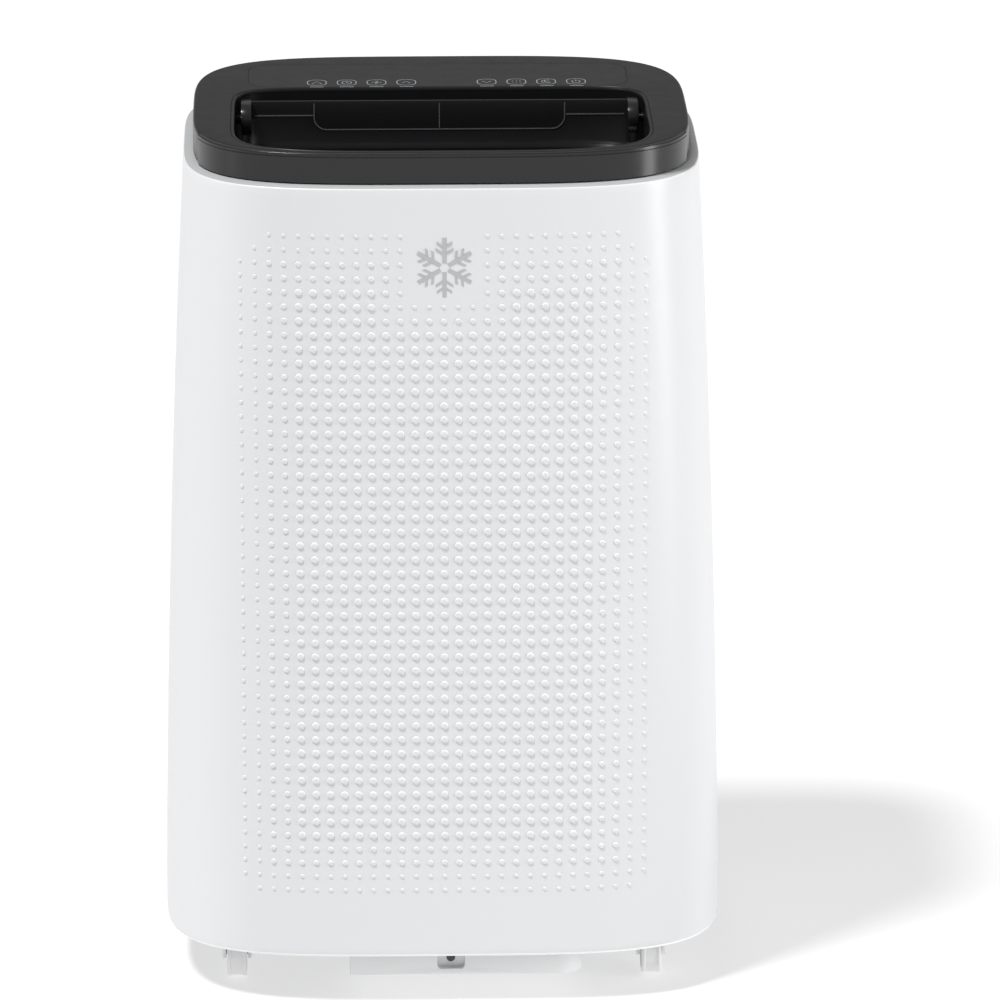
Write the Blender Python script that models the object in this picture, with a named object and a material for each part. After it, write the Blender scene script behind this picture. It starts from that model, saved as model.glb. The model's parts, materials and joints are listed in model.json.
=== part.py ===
"""Portable air conditioner on casters, as an assembly of separate parts.

Frame: metres, +Z up, the front faces -Y and +X is to the right of somebody who looks at the front.
The origin is on the floor, in the middle of the casing's plan.
Run it with: blender --background --python part.py
"""

import math

import bmesh
import bpy
from mathutils import Matrix, Vector

# Driving dimensions
WIDTH = 0.440
DEPTH = 0.360
HEIGHT = 0.684
CASING_BOTTOM = 0.040
RIM_TOP = 0.6596
COVER_BOTTOM = 0.660
BULGE_HEIGHT = 0.075  # the casing is widest here
WALL = 0.0025
GAP = 0.0003
PLAN_POWER = 4.0  # the plan is a superellipse of this power
HALF_STEPS = 24

# The casing narrows towards the top: straight taper and curved taper
WIDTH_TAPER, WIDTH_CURVE = 0.01429, 0.0322
DEPTH_TAPER = 0.0060
RIM_CHAMFER_IN, RIM_CHAMFER_DOWN = 0.0055, 0.0028
RIM_FLANGE = 0.0105

# Top cover and air outlet
COVER_HALF = (0.1930, 0.1705)
COVER_TOP = HEIGHT
COVER_FILLET = 0.003
FASCIA_THICK = 0.0015
FASCIA_LIP = 0.0017  # how far the band's top edge folds over the cover
FASCIA_FROM = 20.5  # degrees from the side to the band's end
OUTLET_HALF = (0.1605, 0.097)
OUTLET_CENTRE = -0.0645
OUTLET_REAR, OUTLET_REAR_POWER = 0.1195, 8.0  # its rear half is deeper and squarer
WELL_FLOOR = 0.636
THROAT_HALF_X = 0.105
THROAT_Y = (-0.108, -0.014)

# Swing flap on its two end arms
FLAP_PIVOT = Vector((0, 0.012, 0.669))
FLAP_ARM_RADIUS = 0.0125
FLAP_ARM_X = (0.1478, 0.1556)
FLAP_Y = (0.0238, 0.0263)
FLAP_TAB_HALF = 0.100
FLAP_TOP, FLAP_SIDE_LOW, FLAP_TAB_LOW, FLAP_CORNER = 0.6805, 0.6675, 0.6560, 0.010
FLAP_SHAFT_R = 0.0035

# Control overlay in its pocket behind the outlet
LENS_HALF_X, LENS_Y, LENS_CORNER = 0.150, (0.0590, 0.138), 0.020
LENS_THICK, LENS_POCKET_DEEP = 0.0007, 0.0010

# Guide vanes under the outlet
VANE_COUNT = 6
VANE_PITCH = 0.034
VANE_PIVOT_Z = 0.610
VANE_PEG_Z = 0.626
VANE_Y = (-0.100, -0.028)
VANE_Z = (0.6045, 0.6315)
DUCT_Z = (0.6038, 0.6355)
VANE_PIN_R, VANE_PEG_R = 0.0015, 0.0012
LINK_BAR_Y = (-0.0250, -0.0225)

# Air side, upper half: evaporator and its blower
DECK_Z = (0.3765, 0.3790)
EVAP_BLOWER = {
    "centre": (0.0, 0.495), "wheel_r": 0.080, "wheel_y": (-0.095, -0.035),
    "scroll_y": (-0.102, -0.024), "scroll_r": (0.088, 0.110), "mouth_x": (-0.104, 0.104),
    "mouth_z": 0.6034, "inlet_r": 0.066, "motor_r": 0.041, "motor_y": (-0.150, -0.1026),
}
# Air side, lower half: condenser and its blower
COND_BLOWER = {
    "centre": (0.085, 0.150), "wheel_r": 0.062, "wheel_y": (-0.085, -0.040),
    "scroll_y": (-0.092, -0.030), "scroll_r": (0.068, 0.084), "mouth_x": (0.022, 0.148),
    "mouth_z": 0.2420, "inlet_r": 0.050, "motor_r": 0.033, "motor_y": (-0.140, -0.0926),
}
BLADES = 20
MOTOR_SHAFT_R = 0.0040
EXHAUST_CENTRE = (0.085, 0.305)  # x and z of the round port in the back
EXHAUST_R = 0.0625
COLLAR_OUTER, COLLAR_INNER, COLLAR_FRONT = 0.0700, 0.0610, 0.1485
PLENUM_X, PLENUM_Y, PLENUM_Z = (0.020, 0.150), (-0.092, -0.020), (0.2425, 0.3675)

# Casters
CASTER_XY = (0.164, 0.115)
CASTER_TRAIL = 0.012
WHEEL_R, WHEEL_WIDTH = 0.019, 0.0156
FORK_TOP = 0.0415
FORK_INNER = 0.0086
FORK_PLATE = 0.0030
AXLE_R = 0.0020
STEM_R, STEM_TOP = 0.0040, 0.060
PAN_Z = (0.044, 0.086)

# Drain skirt under the front
SKIRT_X, SKIRT_Y, SKIRT_Z = (-0.075, 0.108), (-0.165, -0.095), (0.020, 0.0436)
SKIRT_CORNER = 0.020
SKIRT_POCKET_X, SKIRT_POCKET_Z = (-0.0064, 0.0150), 0.025
SKIRT_POCKET_DEPTH = 0.006

# Rear fittings
BACK_CUT = (0.12, 0.25)  # from inside the back wall to outside it
UPPER_GRILLE_X, UPPER_GRILLE_Z = (-0.147, 0.147), (0.395, 0.620)
LOWER_GRILLE_X, LOWER_GRILLE_Z = (-0.150, -0.005), (0.090, 0.335)
UPPER_DRAIN = (-0.060, 0.362)
LOWER_DRAIN = (0.100, 0.066)
DRAIN_CAP_R = 0.011
CORD_GLAND = (0.150, 0.115)
CORD_BORE_R = 0.0035
FITTING_GAP = 0.0006
HANDLE_Y, HANDLE_Z, HANDLE_DEPTH = (0.012, 0.092), (0.572, 0.606), 0.026
HANDLE_WALL, HANDLE_GAP = 0.002, 0.0005

# Refrigeration parts
EVAPORATOR = ((-0.150, 0.045, 0.384), (0.150, 0.085, 0.600))
CONDENSER = ((-0.150, 0.095, 0.055), (-0.003, 0.130, 0.350))
COMPRESSOR_XY, COMPRESSOR_R = (-0.100, -0.055), 0.055
ACCUMULATOR_XY = (-0.170, -0.020)
DISCHARGE_PATH = [
    (-0.100, -0.055, 0.2604), (-0.100, -0.054, 0.268), (-0.100, -0.045, 0.2735), (-0.100, 0.030, 0.2750),
    (-0.100, 0.066, 0.285), (-0.100, 0.076, 0.310), (-0.100, 0.082, 0.328), (-0.100, 0.0940, 0.330),
]
SUCTION_PATH = [
    (-0.170, -0.020, 0.2004), (-0.170, -0.020, 0.215), (-0.170, -0.019, 0.300), (-0.170, -0.010, 0.380),
    (-0.172, 0.020, 0.405), (-0.172, 0.055, 0.415), (-0.166, 0.064, 0.420), (-0.1525, 0.065, 0.420),
]
SLINGER_CENTRE, SLINGER_R = (-0.085, 0.085), 0.030

PALETTE = {  # name: (colour, roughness, metallic)
    "white_plastic": ((0.86, 0.865, 0.875), 0.35, 0.0),
    "grey_plastic": ((0.55, 0.56, 0.58), 0.5, 0.0),
    "dark_plastic": ((0.035, 0.035, 0.038), 0.32, 0.0),
    "black_plastic": ((0.012, 0.012, 0.014), 0.4, 0.0),
    "lens": ((0.015, 0.015, 0.018), 0.12, 0.0),
    "circuit_board": ((0.02, 0.16, 0.07), 0.5, 0.0),
    "steel": ((0.60, 0.60, 0.62), 0.35, 1.0),
    "painted_black": ((0.02, 0.02, 0.022), 0.3, 0.0),
    "aluminium": ((0.75, 0.76, 0.78), 0.4, 1.0),
    "copper": ((0.72, 0.36, 0.20), 0.3, 1.0),
    "rubber": ((0.03, 0.03, 0.03), 0.8, 0.0),
    "filter_mesh": ((0.25, 0.27, 0.30), 0.8, 0.0),
}


def clear_scene():
    for old in list(bpy.data.objects):
        bpy.data.objects.remove(old)


def material(name):
    made = bpy.data.materials.get(name)
    if made is None:
        colour, roughness, metallic = PALETTE[name]
        made = bpy.data.materials.new(name)
        made.use_nodes = True
        shader = made.node_tree.nodes["Principled BSDF"]
        shader.inputs["Base Color"].default_value = (*colour, 1)
        shader.inputs["Roughness"].default_value = roughness
        shader.inputs["Metallic"].default_value = metallic
    return made


def to_object(name, bm, finish=None):
    """Points the edit mesh's faces outwards and links it as an object; no finish means a helper."""
    bmesh.ops.recalc_face_normals(bm, faces=bm.faces)
    mesh = bpy.data.meshes.new(name)
    bm.to_mesh(mesh)
    bm.free()
    made = bpy.data.objects.new(name, mesh)
    bpy.context.scene.collection.objects.link(made)
    if finish:
        mesh.materials.append(material(finish))
        mesh.shade_smooth()
        mesh.set_sharp_from_angle(angle=math.radians(30))
    else:
        made.hide_render = True
        made.display_type = "WIRE"
    return made


def on_axis(made, pivot):
    """Moves the object's origin to a point of its joint's axis and leaves its shape where it is."""
    pivot = Vector(pivot)
    made.data.transform(Matrix.Translation(-pivot))
    made.location = pivot
    return made


def boolean(target, helper, operation="DIFFERENCE"):
    modifier = target.modifiers.new(f"{operation.lower()} {helper.name}", "BOOLEAN")
    modifier.operation = operation
    modifier.object = helper
    return target


# Shapes


def skin(rows, wrap_rows=False):
    """A closed mesh over rows of points. Each row is a closed loop; the end rows are capped or wrap."""
    bm = bmesh.new()
    grid = [[bm.verts.new(point) for point in row] for row in rows]
    count = len(grid[0])
    pairs = list(zip(grid, grid[1:]))
    if wrap_rows:
        pairs.append((grid[-1], grid[0]))
    for first, second in pairs:
        for i in range(count):
            j = (i + 1) % count
            bm.faces.new((first[i], first[j], second[j], second[i]))
    if not wrap_rows:
        bm.faces.new(grid[0])
        bm.faces.new(grid[-1])
    return bm


def prism(outline, axis, low, high):
    """Extrudes a 2D outline along X, Y or Z. The outline's pairs are (y, z), (x, z) and (x, y) in turn."""
    def at(pair, level):
        a, b = pair
        return {"X": (level, a, b), "Y": (a, level, b), "Z": (a, b, level)}[axis]
    return skin([[at(p, low) for p in outline], [at(p, high) for p in outline]])


def box(low, high):
    (x0, y0, z0), (x1, y1, z1) = low, high
    return prism([(x0, y0), (x1, y0), (x1, y1), (x0, y1)], "Z", z0, z1)


def circle(centre, radius, steps=24, start=0.0, end=2 * math.pi):
    """Points on a circle or, if end is given, on an arc with both its ends."""
    full = abs(end - start - 2 * math.pi) < 1e-9
    count = steps if full else steps + 1
    angles = [start + (end - start) * i / steps for i in range(count)]
    return [(centre[0] + radius * math.cos(a), centre[1] + radius * math.sin(a)) for a in angles]


def cylinder(axis, centre, radius, low, high, steps=24):
    return prism(circle(centre, radius, steps), axis, low, high)


def turned(profile, centre, axis, steps=24):
    """A solid of revolution from (radius, level) pairs, capped at both ends."""
    rows = []
    for radius, level in profile:
        ring = circle(centre, radius, steps)
        rows.append([{"X": (level, a, b), "Y": (a, level, b), "Z": (a, b, level)}[axis] for a, b in ring])
    return skin(rows)


def merged(*pieces):
    """Several separate closed meshes as one edit mesh, for a helper that a Boolean reads."""
    whole = bmesh.new()
    for piece in pieces:
        bmesh.ops.recalc_face_normals(piece, faces=piece.faces)
        spare = bpy.data.meshes.new("spare")
        piece.to_mesh(spare)
        piece.free()
        whole.from_mesh(spare)
        bpy.data.meshes.remove(spare)
    return whole


def lattice(name, us, vs, kept, place, finish, wrap=False):
    """A plate of square cells over a surface, open where kept(i, j) is false.

    place(u, v, layer) gives a point of the outer face (layer 0) or the inner face (layer 1).
    """
    columns, rows = len(us) - (not wrap), len(vs) - 1
    bm = bmesh.new()
    points = {}

    def corner(i, j, layer):
        key = (i % len(us), j, layer)
        if key not in points:
            points[key] = bm.verts.new(place(us[key[0]], vs[j], layer))
        return points[key]

    def solid(i, j):
        if wrap:
            i %= columns
        return 0 <= i < columns and 0 <= j < rows and kept(i, j)

    for i in range(columns):
        for j in range(rows):
            if not solid(i, j):
                continue
            around = [(i, j), (i + 1, j), (i + 1, j + 1), (i, j + 1)]
            bm.faces.new([corner(a, b, 0) for a, b in around])
            bm.faces.new([corner(a, b, 1) for a, b in reversed(around)])
            beside = [(i, j - 1), (i + 1, j), (i, j + 1), (i - 1, j)]
            for k, neighbour in enumerate(beside):
                if not solid(*neighbour):
                    a, b = around[k], around[(k + 1) % 4]
                    bm.faces.new((corner(*a, 0), corner(*a, 1), corner(*b, 1), corner(*b, 0)))
    return to_object(name, bm, finish)


def pipe(name, knots, radius, finish):
    """A tube through the knots, along a smooth curve."""
    points = []
    padded = [Vector(knot) for knot in (knots[0], *knots, knots[-1])]
    steps = 6
    for a, b, c, d in zip(padded, padded[1:], padded[2:], padded[3:]):
        for i in range(steps):
            t = i / steps
            linear = 2 * b + (c - a) * t
            square = (2 * a - 5 * b + 4 * c - d) * t ** 2
            cube = (3 * b - a - 3 * c + d) * t ** 3
            points.append((linear + square + cube) / 2)
    points.append(padded[-1])
    curve = bpy.data.curves.new(name, "CURVE")
    curve.dimensions = "3D"
    curve.bevel_depth = radius
    curve.bevel_resolution = 2
    curve.use_fill_caps = True
    spline = curve.splines.new("POLY")
    spline.points.add(len(points) - 1)
    for target, point in zip(spline.points, points):
        target.co = (*point, 1)
    curve.materials.append(material(finish))
    made = bpy.data.objects.new(name, curve)
    bpy.context.scene.collection.objects.link(made)
    return made


# The casing's surface


def half_sizes(z):
    """Half the casing's width and depth at a height."""
    t = max(0.0, z - BULGE_HEIGHT)
    return WIDTH / 2 - WIDTH_TAPER * t - WIDTH_CURVE * t * t, DEPTH / 2 - DEPTH_TAPER * t


def oval(half_x, half_y, z, start=0.0, end=2 * math.pi, steps=2 * HALF_STEPS,
         centre_y=0.0, rear_power=PLAN_POWER, rear_y=None, shift_y=0.0):
    """Points of the plan's superellipse at a height; an open part of it has both its ends."""
    full = abs(end - start - 2 * math.pi) < 1e-9
    points = []
    for i in range(steps if full else steps + 1):
        angle = start + (end - start) * i / steps
        c, s = math.cos(angle), math.sin(angle)
        power = rear_power if s > 0 else PLAN_POWER
        depth = rear_y if rear_y and s > 0 else half_y
        x = half_x * math.copysign(abs(c) ** (2 / power), c)
        y = depth * math.copysign(abs(s) ** (2 / power), s) if abs(s) > 1e-9 else 0.0
        points.append((x, centre_y + y + shift_y, z))
    return points


def casing_y(x, z):
    """How far behind the middle the back of the casing lies, at x and z."""
    half_x, half_y = half_sizes(z)
    return half_y * (1 - abs(x / half_x) ** PLAN_POWER) ** (1 / PLAN_POWER)


def casing_x(y, z):
    """How far from the middle the side of the casing lies, at y and z."""
    half_x, half_y = half_sizes(z)
    return half_x * (1 - abs(y / half_y) ** PLAN_POWER) ** (1 / PLAN_POWER)


def casing_section():
    """The wall of the casing as a closed loop of (inset, z)."""
    levels = [0.075, 0.16, 0.26, 0.36, 0.46, 0.56, 0.62]
    outer = [(0.0015, CASING_BOTTOM), (0.0, CASING_BOTTOM + 0.003)] + [(0.0, z) for z in levels]
    rim = [
        (0.0, RIM_TOP - RIM_CHAMFER_DOWN - 0.001), (0.0012, RIM_TOP - RIM_CHAMFER_DOWN + 0.0006),
        (RIM_CHAMFER_IN, RIM_TOP), (RIM_FLANGE, RIM_TOP), (RIM_FLANGE, RIM_TOP - WALL),
        (WALL + 0.003, RIM_TOP - WALL),
    ]
    inner = [(WALL, RIM_TOP - WALL - 0.004)] + [(WALL, z) for z in reversed(levels)]
    return outer + rim + inner + [(WALL, CASING_BOTTOM)]


def casing_half(name, start, end, shift):
    """Half of the casing, swept round the plan between two angles."""
    section = casing_section()
    columns = []
    for inset, z in section:
        half_x, half_y = half_sizes(z)
        columns.append(oval(half_x - inset, half_y - inset - GAP, z, start, end, HALF_STEPS, shift_y=shift))
    rows = [[column[i] for column in columns] for i in range(HALF_STEPS + 1)]
    return to_object(name, skin(rows), "white_plastic")


def front_panel():
    casing_half("front_panel", math.pi, 2 * math.pi, -GAP)


def window(span_x, span_z):
    """A cutter right through the back wall."""
    return box((span_x[0], BACK_CUT[0], span_z[0]), (span_x[1], BACK_CUT[1], span_z[1]))


def grip_box(low_x, high_x, grow):
    """The block of a grip between two x values, grown or shrunk along Y and Z."""
    (y0, y1), (z0, z1) = HANDLE_Y, HANDLE_Z
    return box((low_x, y0 - grow, z0 - grow), (high_x, y1 + grow, z1 + grow))


def rear_housing():
    housing = casing_half("rear_housing", 0.0, math.pi, GAP)
    cuts = [window(UPPER_GRILLE_X, UPPER_GRILLE_Z), window(LOWER_GRILLE_X, LOWER_GRILLE_Z)]
    cuts.append(cylinder("Y", EXHAUST_CENTRE, COLLAR_OUTER + 0.0005, *BACK_CUT, 36))
    for centre in (UPPER_DRAIN, LOWER_DRAIN, CORD_GLAND):
        cuts.append(cylinder("Y", centre, DRAIN_CAP_R + FITTING_GAP, *BACK_CUT))
    for side in (-1, 1):
        low, high = sorted((side * 0.16, side * 0.24))
        cuts.append(grip_box(low, high, HANDLE_GAP))
    boolean(housing, to_object("housing_cutter", merged(*cuts)))


def handle_cups():
    """Recessed grips, one in each side of the rear housing."""
    rim = casing_x(HANDLE_Y[1], HANDLE_Z[1]) - 0.001
    for side, word in ((-1, "left"), (1, "right")):
        low, high = sorted((side * rim, side * (rim - HANDLE_DEPTH)))
        cup = to_object(f"handle_cup_{word}", grip_box(low, high, 0.0), "grey_plastic")
        if side < 0:
            hollow = grip_box(low - 0.01, high - HANDLE_WALL, -HANDLE_WALL)
        else:
            hollow = grip_box(low + HANDLE_WALL, high + 0.01, -HANDLE_WALL)
        boolean(cup, to_object(f"handle_cutter_{word}", hollow))


# Top cover, outlet and controls


def outlet_oval(grow, z):
    """The outlet's outline, grown outwards."""
    half_x, half_y = OUTLET_HALF
    return oval(half_x + grow, half_y + grow, z, centre_y=OUTLET_CENTRE,
                rear_power=OUTLET_REAR_POWER, rear_y=OUTLET_REAR + grow)


def top_cover():
    """Dark cover: a rim wall, a rounded edge and a flat top with the outlet cut through it."""
    hx, hy = COVER_HALF
    f = COVER_FILLET
    rings = [
        oval(hx, hy, COVER_BOTTOM), oval(hx, hy, COVER_TOP - f),
        oval(hx - 0.3 * f, hy - 0.3 * f, COVER_TOP - 0.3 * f), oval(hx - f, hy - f, COVER_TOP),
        outlet_oval(0.0, COVER_TOP), outlet_oval(0.0, COVER_TOP - WALL),
        oval(hx - WALL - 0.001, hy - WALL - 0.001, COVER_TOP - WALL),
        oval(hx - WALL, hy - WALL, COVER_BOTTOM),
    ]
    cover = to_object("top_cover", skin(rings, wrap_rows=True), "dark_plastic")
    pocket = prism(lens_outline(GAP), "Z", COVER_TOP - LENS_POCKET_DEEP, COVER_TOP + 0.01)
    boolean(cover, to_object("lens_pocket", pocket))


def lens_outline(grow=0.0):
    """The control overlay's outline: a strip behind the outlet with round corners."""
    r = LENS_CORNER
    x, low, high = LENS_HALF_X + grow, LENS_Y[0] - grow, LENS_Y[1] + grow
    corners = [(x - r, low + r), (x - r, high - r), (r - x, high - r), (r - x, low + r)]
    points = []
    for quarter, corner in enumerate(corners):
        start = (quarter - 1) * math.pi / 2
        points += circle(corner, r, 5, start, start + math.pi / 2)
    return points


def control_panel():
    to_object("control_lens", prism(lens_outline(), "Z", COVER_TOP - LENS_THICK, COVER_TOP), "lens")
    board = to_object("control_board", box((-0.130, 0.062, 0.6700), (0.130, 0.132, 0.6716)), "circuit_board")
    display = box((-0.024, 0.086, 0.6710), (0.024, 0.108, 0.6780))
    chip = box((0.060, 0.100, 0.6710), (0.072, 0.112, 0.6732))
    plug = box((-0.110, 0.066, 0.6640), (-0.085, 0.074, 0.6710))
    boolean(board, to_object("board_parts", merged(display, chip, plug)), "UNION")


def cover_fascia():
    """The band that wraps the front of the cover; its rounded top edge lies over the cover's edge."""
    start, end = math.radians(180 + FASCIA_FROM), math.radians(360 - FASCIA_FROM)
    hx, hy = COVER_HALF
    outer = GAP + FASCIA_THICK
    low, high = COVER_BOTTOM + 0.0004, COVER_TOP - 0.0002
    section = [
        (GAP, low), (outer, low), (outer, high - 0.0008), (outer - 0.0006, high), (-FASCIA_LIP, high),
        (-0.0007, COVER_TOP - 0.0006), (GAP, COVER_TOP - COVER_FILLET),
    ]
    loops = [oval(hx + grow, hy + grow, z, start, end, 30) for grow, z in section]
    rows = [[loop[i] for loop in loops] for i in range(31)]
    to_object("cover_fascia", skin(rows), "dark_plastic")


def outlet_well():
    """Black basin under the opening, with the throat of the duct in its floor."""
    top = COVER_TOP - WALL - GAP
    rings = [
        outlet_oval(0.0, WELL_FLOOR + WALL), outlet_oval(0.0, top),
        outlet_oval(WALL, top), outlet_oval(WALL, WELL_FLOOR),
    ]
    well = to_object("outlet_well", skin(rings), "black_plastic")
    throat = box((-THROAT_HALF_X, THROAT_Y[0], 0.62), (THROAT_HALF_X, THROAT_Y[1], 0.645))
    shaft = cylinder("X", (FLAP_PIVOT.y, FLAP_PIVOT.z), 0.0042, -0.175, 0.175, 16)
    boolean(well, to_object("well_cutter", merged(throat, shaft)))


def outlet_duct():
    """Short square duct between the blower's mouth and the well; the guide vanes pivot in it."""
    hx = THROAT_HALF_X + 0.003
    walls = box((-hx - WALL, THROAT_Y[0] - WALL, DUCT_Z[0]), (hx + WALL, THROAT_Y[1] + WALL, DUCT_Z[1]))
    duct = to_object("outlet_duct", walls, "black_plastic")
    bore = box((-hx, THROAT_Y[0], DUCT_Z[0] - 0.01), (hx, THROAT_Y[1], DUCT_Z[1] + 0.01))
    boolean(duct, to_object("duct_bore", bore))
    reach = (THROAT_Y[0] - 0.01, THROAT_Y[1] + 0.01)
    holes = [cylinder("Y", (x, VANE_PIVOT_Z), VANE_PIN_R + 0.0004, *reach, 10) for x in vane_places()]
    boolean(duct, to_object("duct_pin_holes", merged(*holes)))


def vane_places():
    return [VANE_PITCH * (i - (VANE_COUNT - 1) / 2) for i in range(VANE_COUNT)]


def guide_vanes():
    """Upright vanes that steer the air left and right, each on two pins and joined by a bar."""
    half = 0.0009
    for i, x in enumerate(vane_places()):
        blade = box((x - half, VANE_Y[0], VANE_Z[0]), (x + half, VANE_Y[1], VANE_Z[1]))
        vane = to_object(f"guide_vane_{i + 1}", blade, "black_plastic")
        pin = cylinder("Y", (x, VANE_PIVOT_Z), VANE_PIN_R, THROAT_Y[0] - 0.002, THROAT_Y[1] + 0.002, 10)
        peg = cylinder("Y", (x, VANE_PEG_Z), VANE_PEG_R, VANE_Y[1] - 0.002, VANE_Y[1] + 0.0070, 10)
        boolean(vane, to_object(f"vane_pins_{i + 1}", merged(pin, peg)), "UNION")
        on_axis(vane, (x, 0, VANE_PIVOT_Z))
    first = vane_places()[0]
    reach = -first + 0.006
    strip = box((-reach, LINK_BAR_Y[0], VANE_PEG_Z - 0.003), (reach, LINK_BAR_Y[1], VANE_PEG_Z + 0.003))
    bar = to_object("vane_link_bar", strip, "black_plastic")
    holes = [cylinder("Y", (x, VANE_PEG_Z), VANE_PEG_R + GAP, -0.03, -0.015, 10) for x in vane_places()]
    boolean(bar, to_object("link_bar_holes", merged(*holes)))
    on_axis(bar, (first, 0, VANE_PEG_Z))


def swing_flap():
    """Deflector across the back of the outlet, on two round arms with stub shafts."""
    y0, y1 = FLAP_Y
    r = FLAP_CORNER
    x, tab = FLAP_ARM_X[0] + 0.001, FLAP_TAB_HALF
    outline = [(-x, FLAP_TOP), (-x, FLAP_SIDE_LOW), (-tab, FLAP_SIDE_LOW)]
    outline += circle((-tab + r, FLAP_TAB_LOW + r), r, 5, math.pi, 1.5 * math.pi)
    outline += circle((tab - r, FLAP_TAB_LOW + r), r, 5, 1.5 * math.pi, 2 * math.pi)
    outline += [(tab, FLAP_SIDE_LOW), (x, FLAP_SIDE_LOW), (x, FLAP_TOP)]
    flap = to_object("swing_flap", prism(outline, "Y", y0, y1), "dark_plastic")
    py, pz = FLAP_PIVOT.y, FLAP_PIVOT.z
    arm = circle((py, pz), FLAP_ARM_RADIUS, 10, 0.5 * math.pi, 1.5 * math.pi)
    arm += [(y1 + 0.0002, pz - 0.004), (y1 + 0.0002, pz + FLAP_ARM_RADIUS)]
    ends = []
    for side in (-1, 1):
        low, high = sorted((side * FLAP_ARM_X[0], side * FLAP_ARM_X[1]))
        ends.append(prism(arm, "X", low, high))
    boolean(flap, to_object("flap_arms", merged(*ends)), "UNION")
    spans = ((-0.1658, -0.152), (0.152, 0.1658))
    shafts = [cylinder("X", (py, pz), FLAP_SHAFT_R, low, high, 16) for low, high in spans]
    boolean(flap, to_object("flap_shafts", merged(*shafts)), "UNION")
    on_axis(flap, FLAP_PIVOT)
    motor = [(0.0112, -0.1820), (0.0112, -0.1690), (0.0050, -0.1690), (0.0050, -0.1664)]
    to_object("flap_motor", turned(motor, (py, pz), "X", 20), "steel")


# Blowers


def scroll_outline(spec, inset, mouth_z):
    """The blower housing's side view: a spiral that opens upwards into a flared mouth."""
    cx, cz = spec["centre"]
    r_min, r_max = spec["scroll_r"]
    x0, x1 = spec["mouth_x"]
    steps = 22
    start, end = math.pi, 2 * math.pi + math.radians(50)
    points = []
    for i in range(steps + 1):
        share = i / steps
        angle = start + (end - start) * share
        radius = r_max + (r_min - r_max) * share - inset
        points.append((cx + radius * math.cos(angle), cz + radius * math.sin(angle)))
    neck = spec["mouth_z"] - 0.012
    return points + [(x1 - inset, neck), (x1 - inset, mouth_z), (x0 + inset, mouth_z), (x0 + inset, neck)]


def blower(word, spec):
    """Scroll housing, bladed wheel and motor of one blower. The motor's shaft carries the wheel."""
    centre = spec["centre"]
    y0, y1 = spec["scroll_y"]
    spiral = scroll_outline(spec, 0, spec["mouth_z"])
    shell = to_object(f"{word}_scroll", prism(spiral, "Y", y0, y1), "grey_plastic")
    hollow = prism(scroll_outline(spec, WALL, spec["mouth_z"] + 0.01), "Y", y0 + WALL, y1 - WALL)
    boolean(shell, to_object(f"{word}_scroll_hollow", hollow))
    inlet = cylinder("Y", centre, spec["inlet_r"], y1 - 0.004, y1 + 0.01, 32)
    shaft_hole = cylinder("Y", centre, 0.010, y0 - 0.01, y0 + 0.004, 16)
    boolean(shell, to_object(f"{word}_scroll_holes", merged(inlet, shaft_hole)))

    w0, w1 = spec["wheel_y"]
    radius = spec["wheel_r"]
    angles = []
    for i in range(BLADES):
        angles += [2 * math.pi * i / BLADES, 2 * math.pi * (i + 0.3) / BLADES]

    def rim(angle, y, layer):
        reach = radius - 0.008 * layer
        turn = angle + 0.10 * layer
        return centre[0] + reach * math.cos(turn), y, centre[1] + reach * math.sin(turn)

    def blade_or_ring(i, j):
        return j != 1 or i % 2 == 0

    levels = [w0, w0 + 0.004, w1 - 0.004, w1]
    cage = lattice(f"{word}_wheel", angles, levels, blade_or_ring, rim, "black_plastic", wrap=True)
    hub, web = 0.012, radius - 0.004
    disc = [(hub, w0 + 0.026), (hub, w0 + 0.004), (web, w0 + 0.0035), (web, w0 + 0.0005)]
    boolean(cage, to_object(f"{word}_wheel_web", turned(disc, centre, "Y", 24)), "UNION")
    bore = cylinder("Y", centre, MOTOR_SHAFT_R + GAP, w0 - 0.02, w0 + 0.05, 12)
    boolean(cage, to_object(f"{word}_wheel_bore", bore))
    on_axis(cage, (centre[0], (w0 + w1) / 2, centre[1]))

    m0, m1 = spec["motor_y"]
    r = spec["motor_r"]
    profile = [(r - 0.006, m0), (r, m0 + 0.006), (r, m1 - 0.008), (0.012, m1 - 0.002), (0.008, m1)]
    profile += [(MOTOR_SHAFT_R, m1), (MOTOR_SHAFT_R, w0 + 0.020)]
    to_object(f"{word}_motor", turned(profile, centre, "Y"), "steel")


def exhaust():
    """Plenum over the condenser blower's mouth, the round duct to the back and the hose collar."""
    (x0, x1), (y0, y1), (z0, z1) = PLENUM_X, PLENUM_Y, PLENUM_Z
    duct = to_object("exhaust_duct", box((x0, y0, z0), (x1, y1, z1)), "grey_plastic")
    tube = cylinder("Y", EXHAUST_CENTRE, EXHAUST_R, y1 - 0.01, 0.148, 32)
    boolean(duct, to_object("exhaust_tube", tube), "UNION")
    inside = box((x0 + WALL, y0 + WALL, z0 + WALL), (x1 - WALL, y1 - WALL, z1 - WALL))
    boolean(duct, to_object("plenum_hollow", inside))
    hollow = cylinder("Y", EXHAUST_CENTRE, EXHAUST_R - WALL, y1 - 0.02, 0.16, 32)
    boolean(duct, to_object("tube_hollow", hollow))
    mouth = box((x0 + 0.004, y0 + 0.004, z0 - 0.01), (x1 - 0.004, -0.034, z0 + 0.01))
    boolean(duct, to_object("plenum_mouth", mouth))
    ends = (COLLAR_FRONT, DEPTH / 2)
    sleeve("exhaust_collar", EXHAUST_CENTRE, (COLLAR_OUTER, COLLAR_INNER), ends, 36, "grey_plastic")


# Rear grilles, filters and drains


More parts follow.
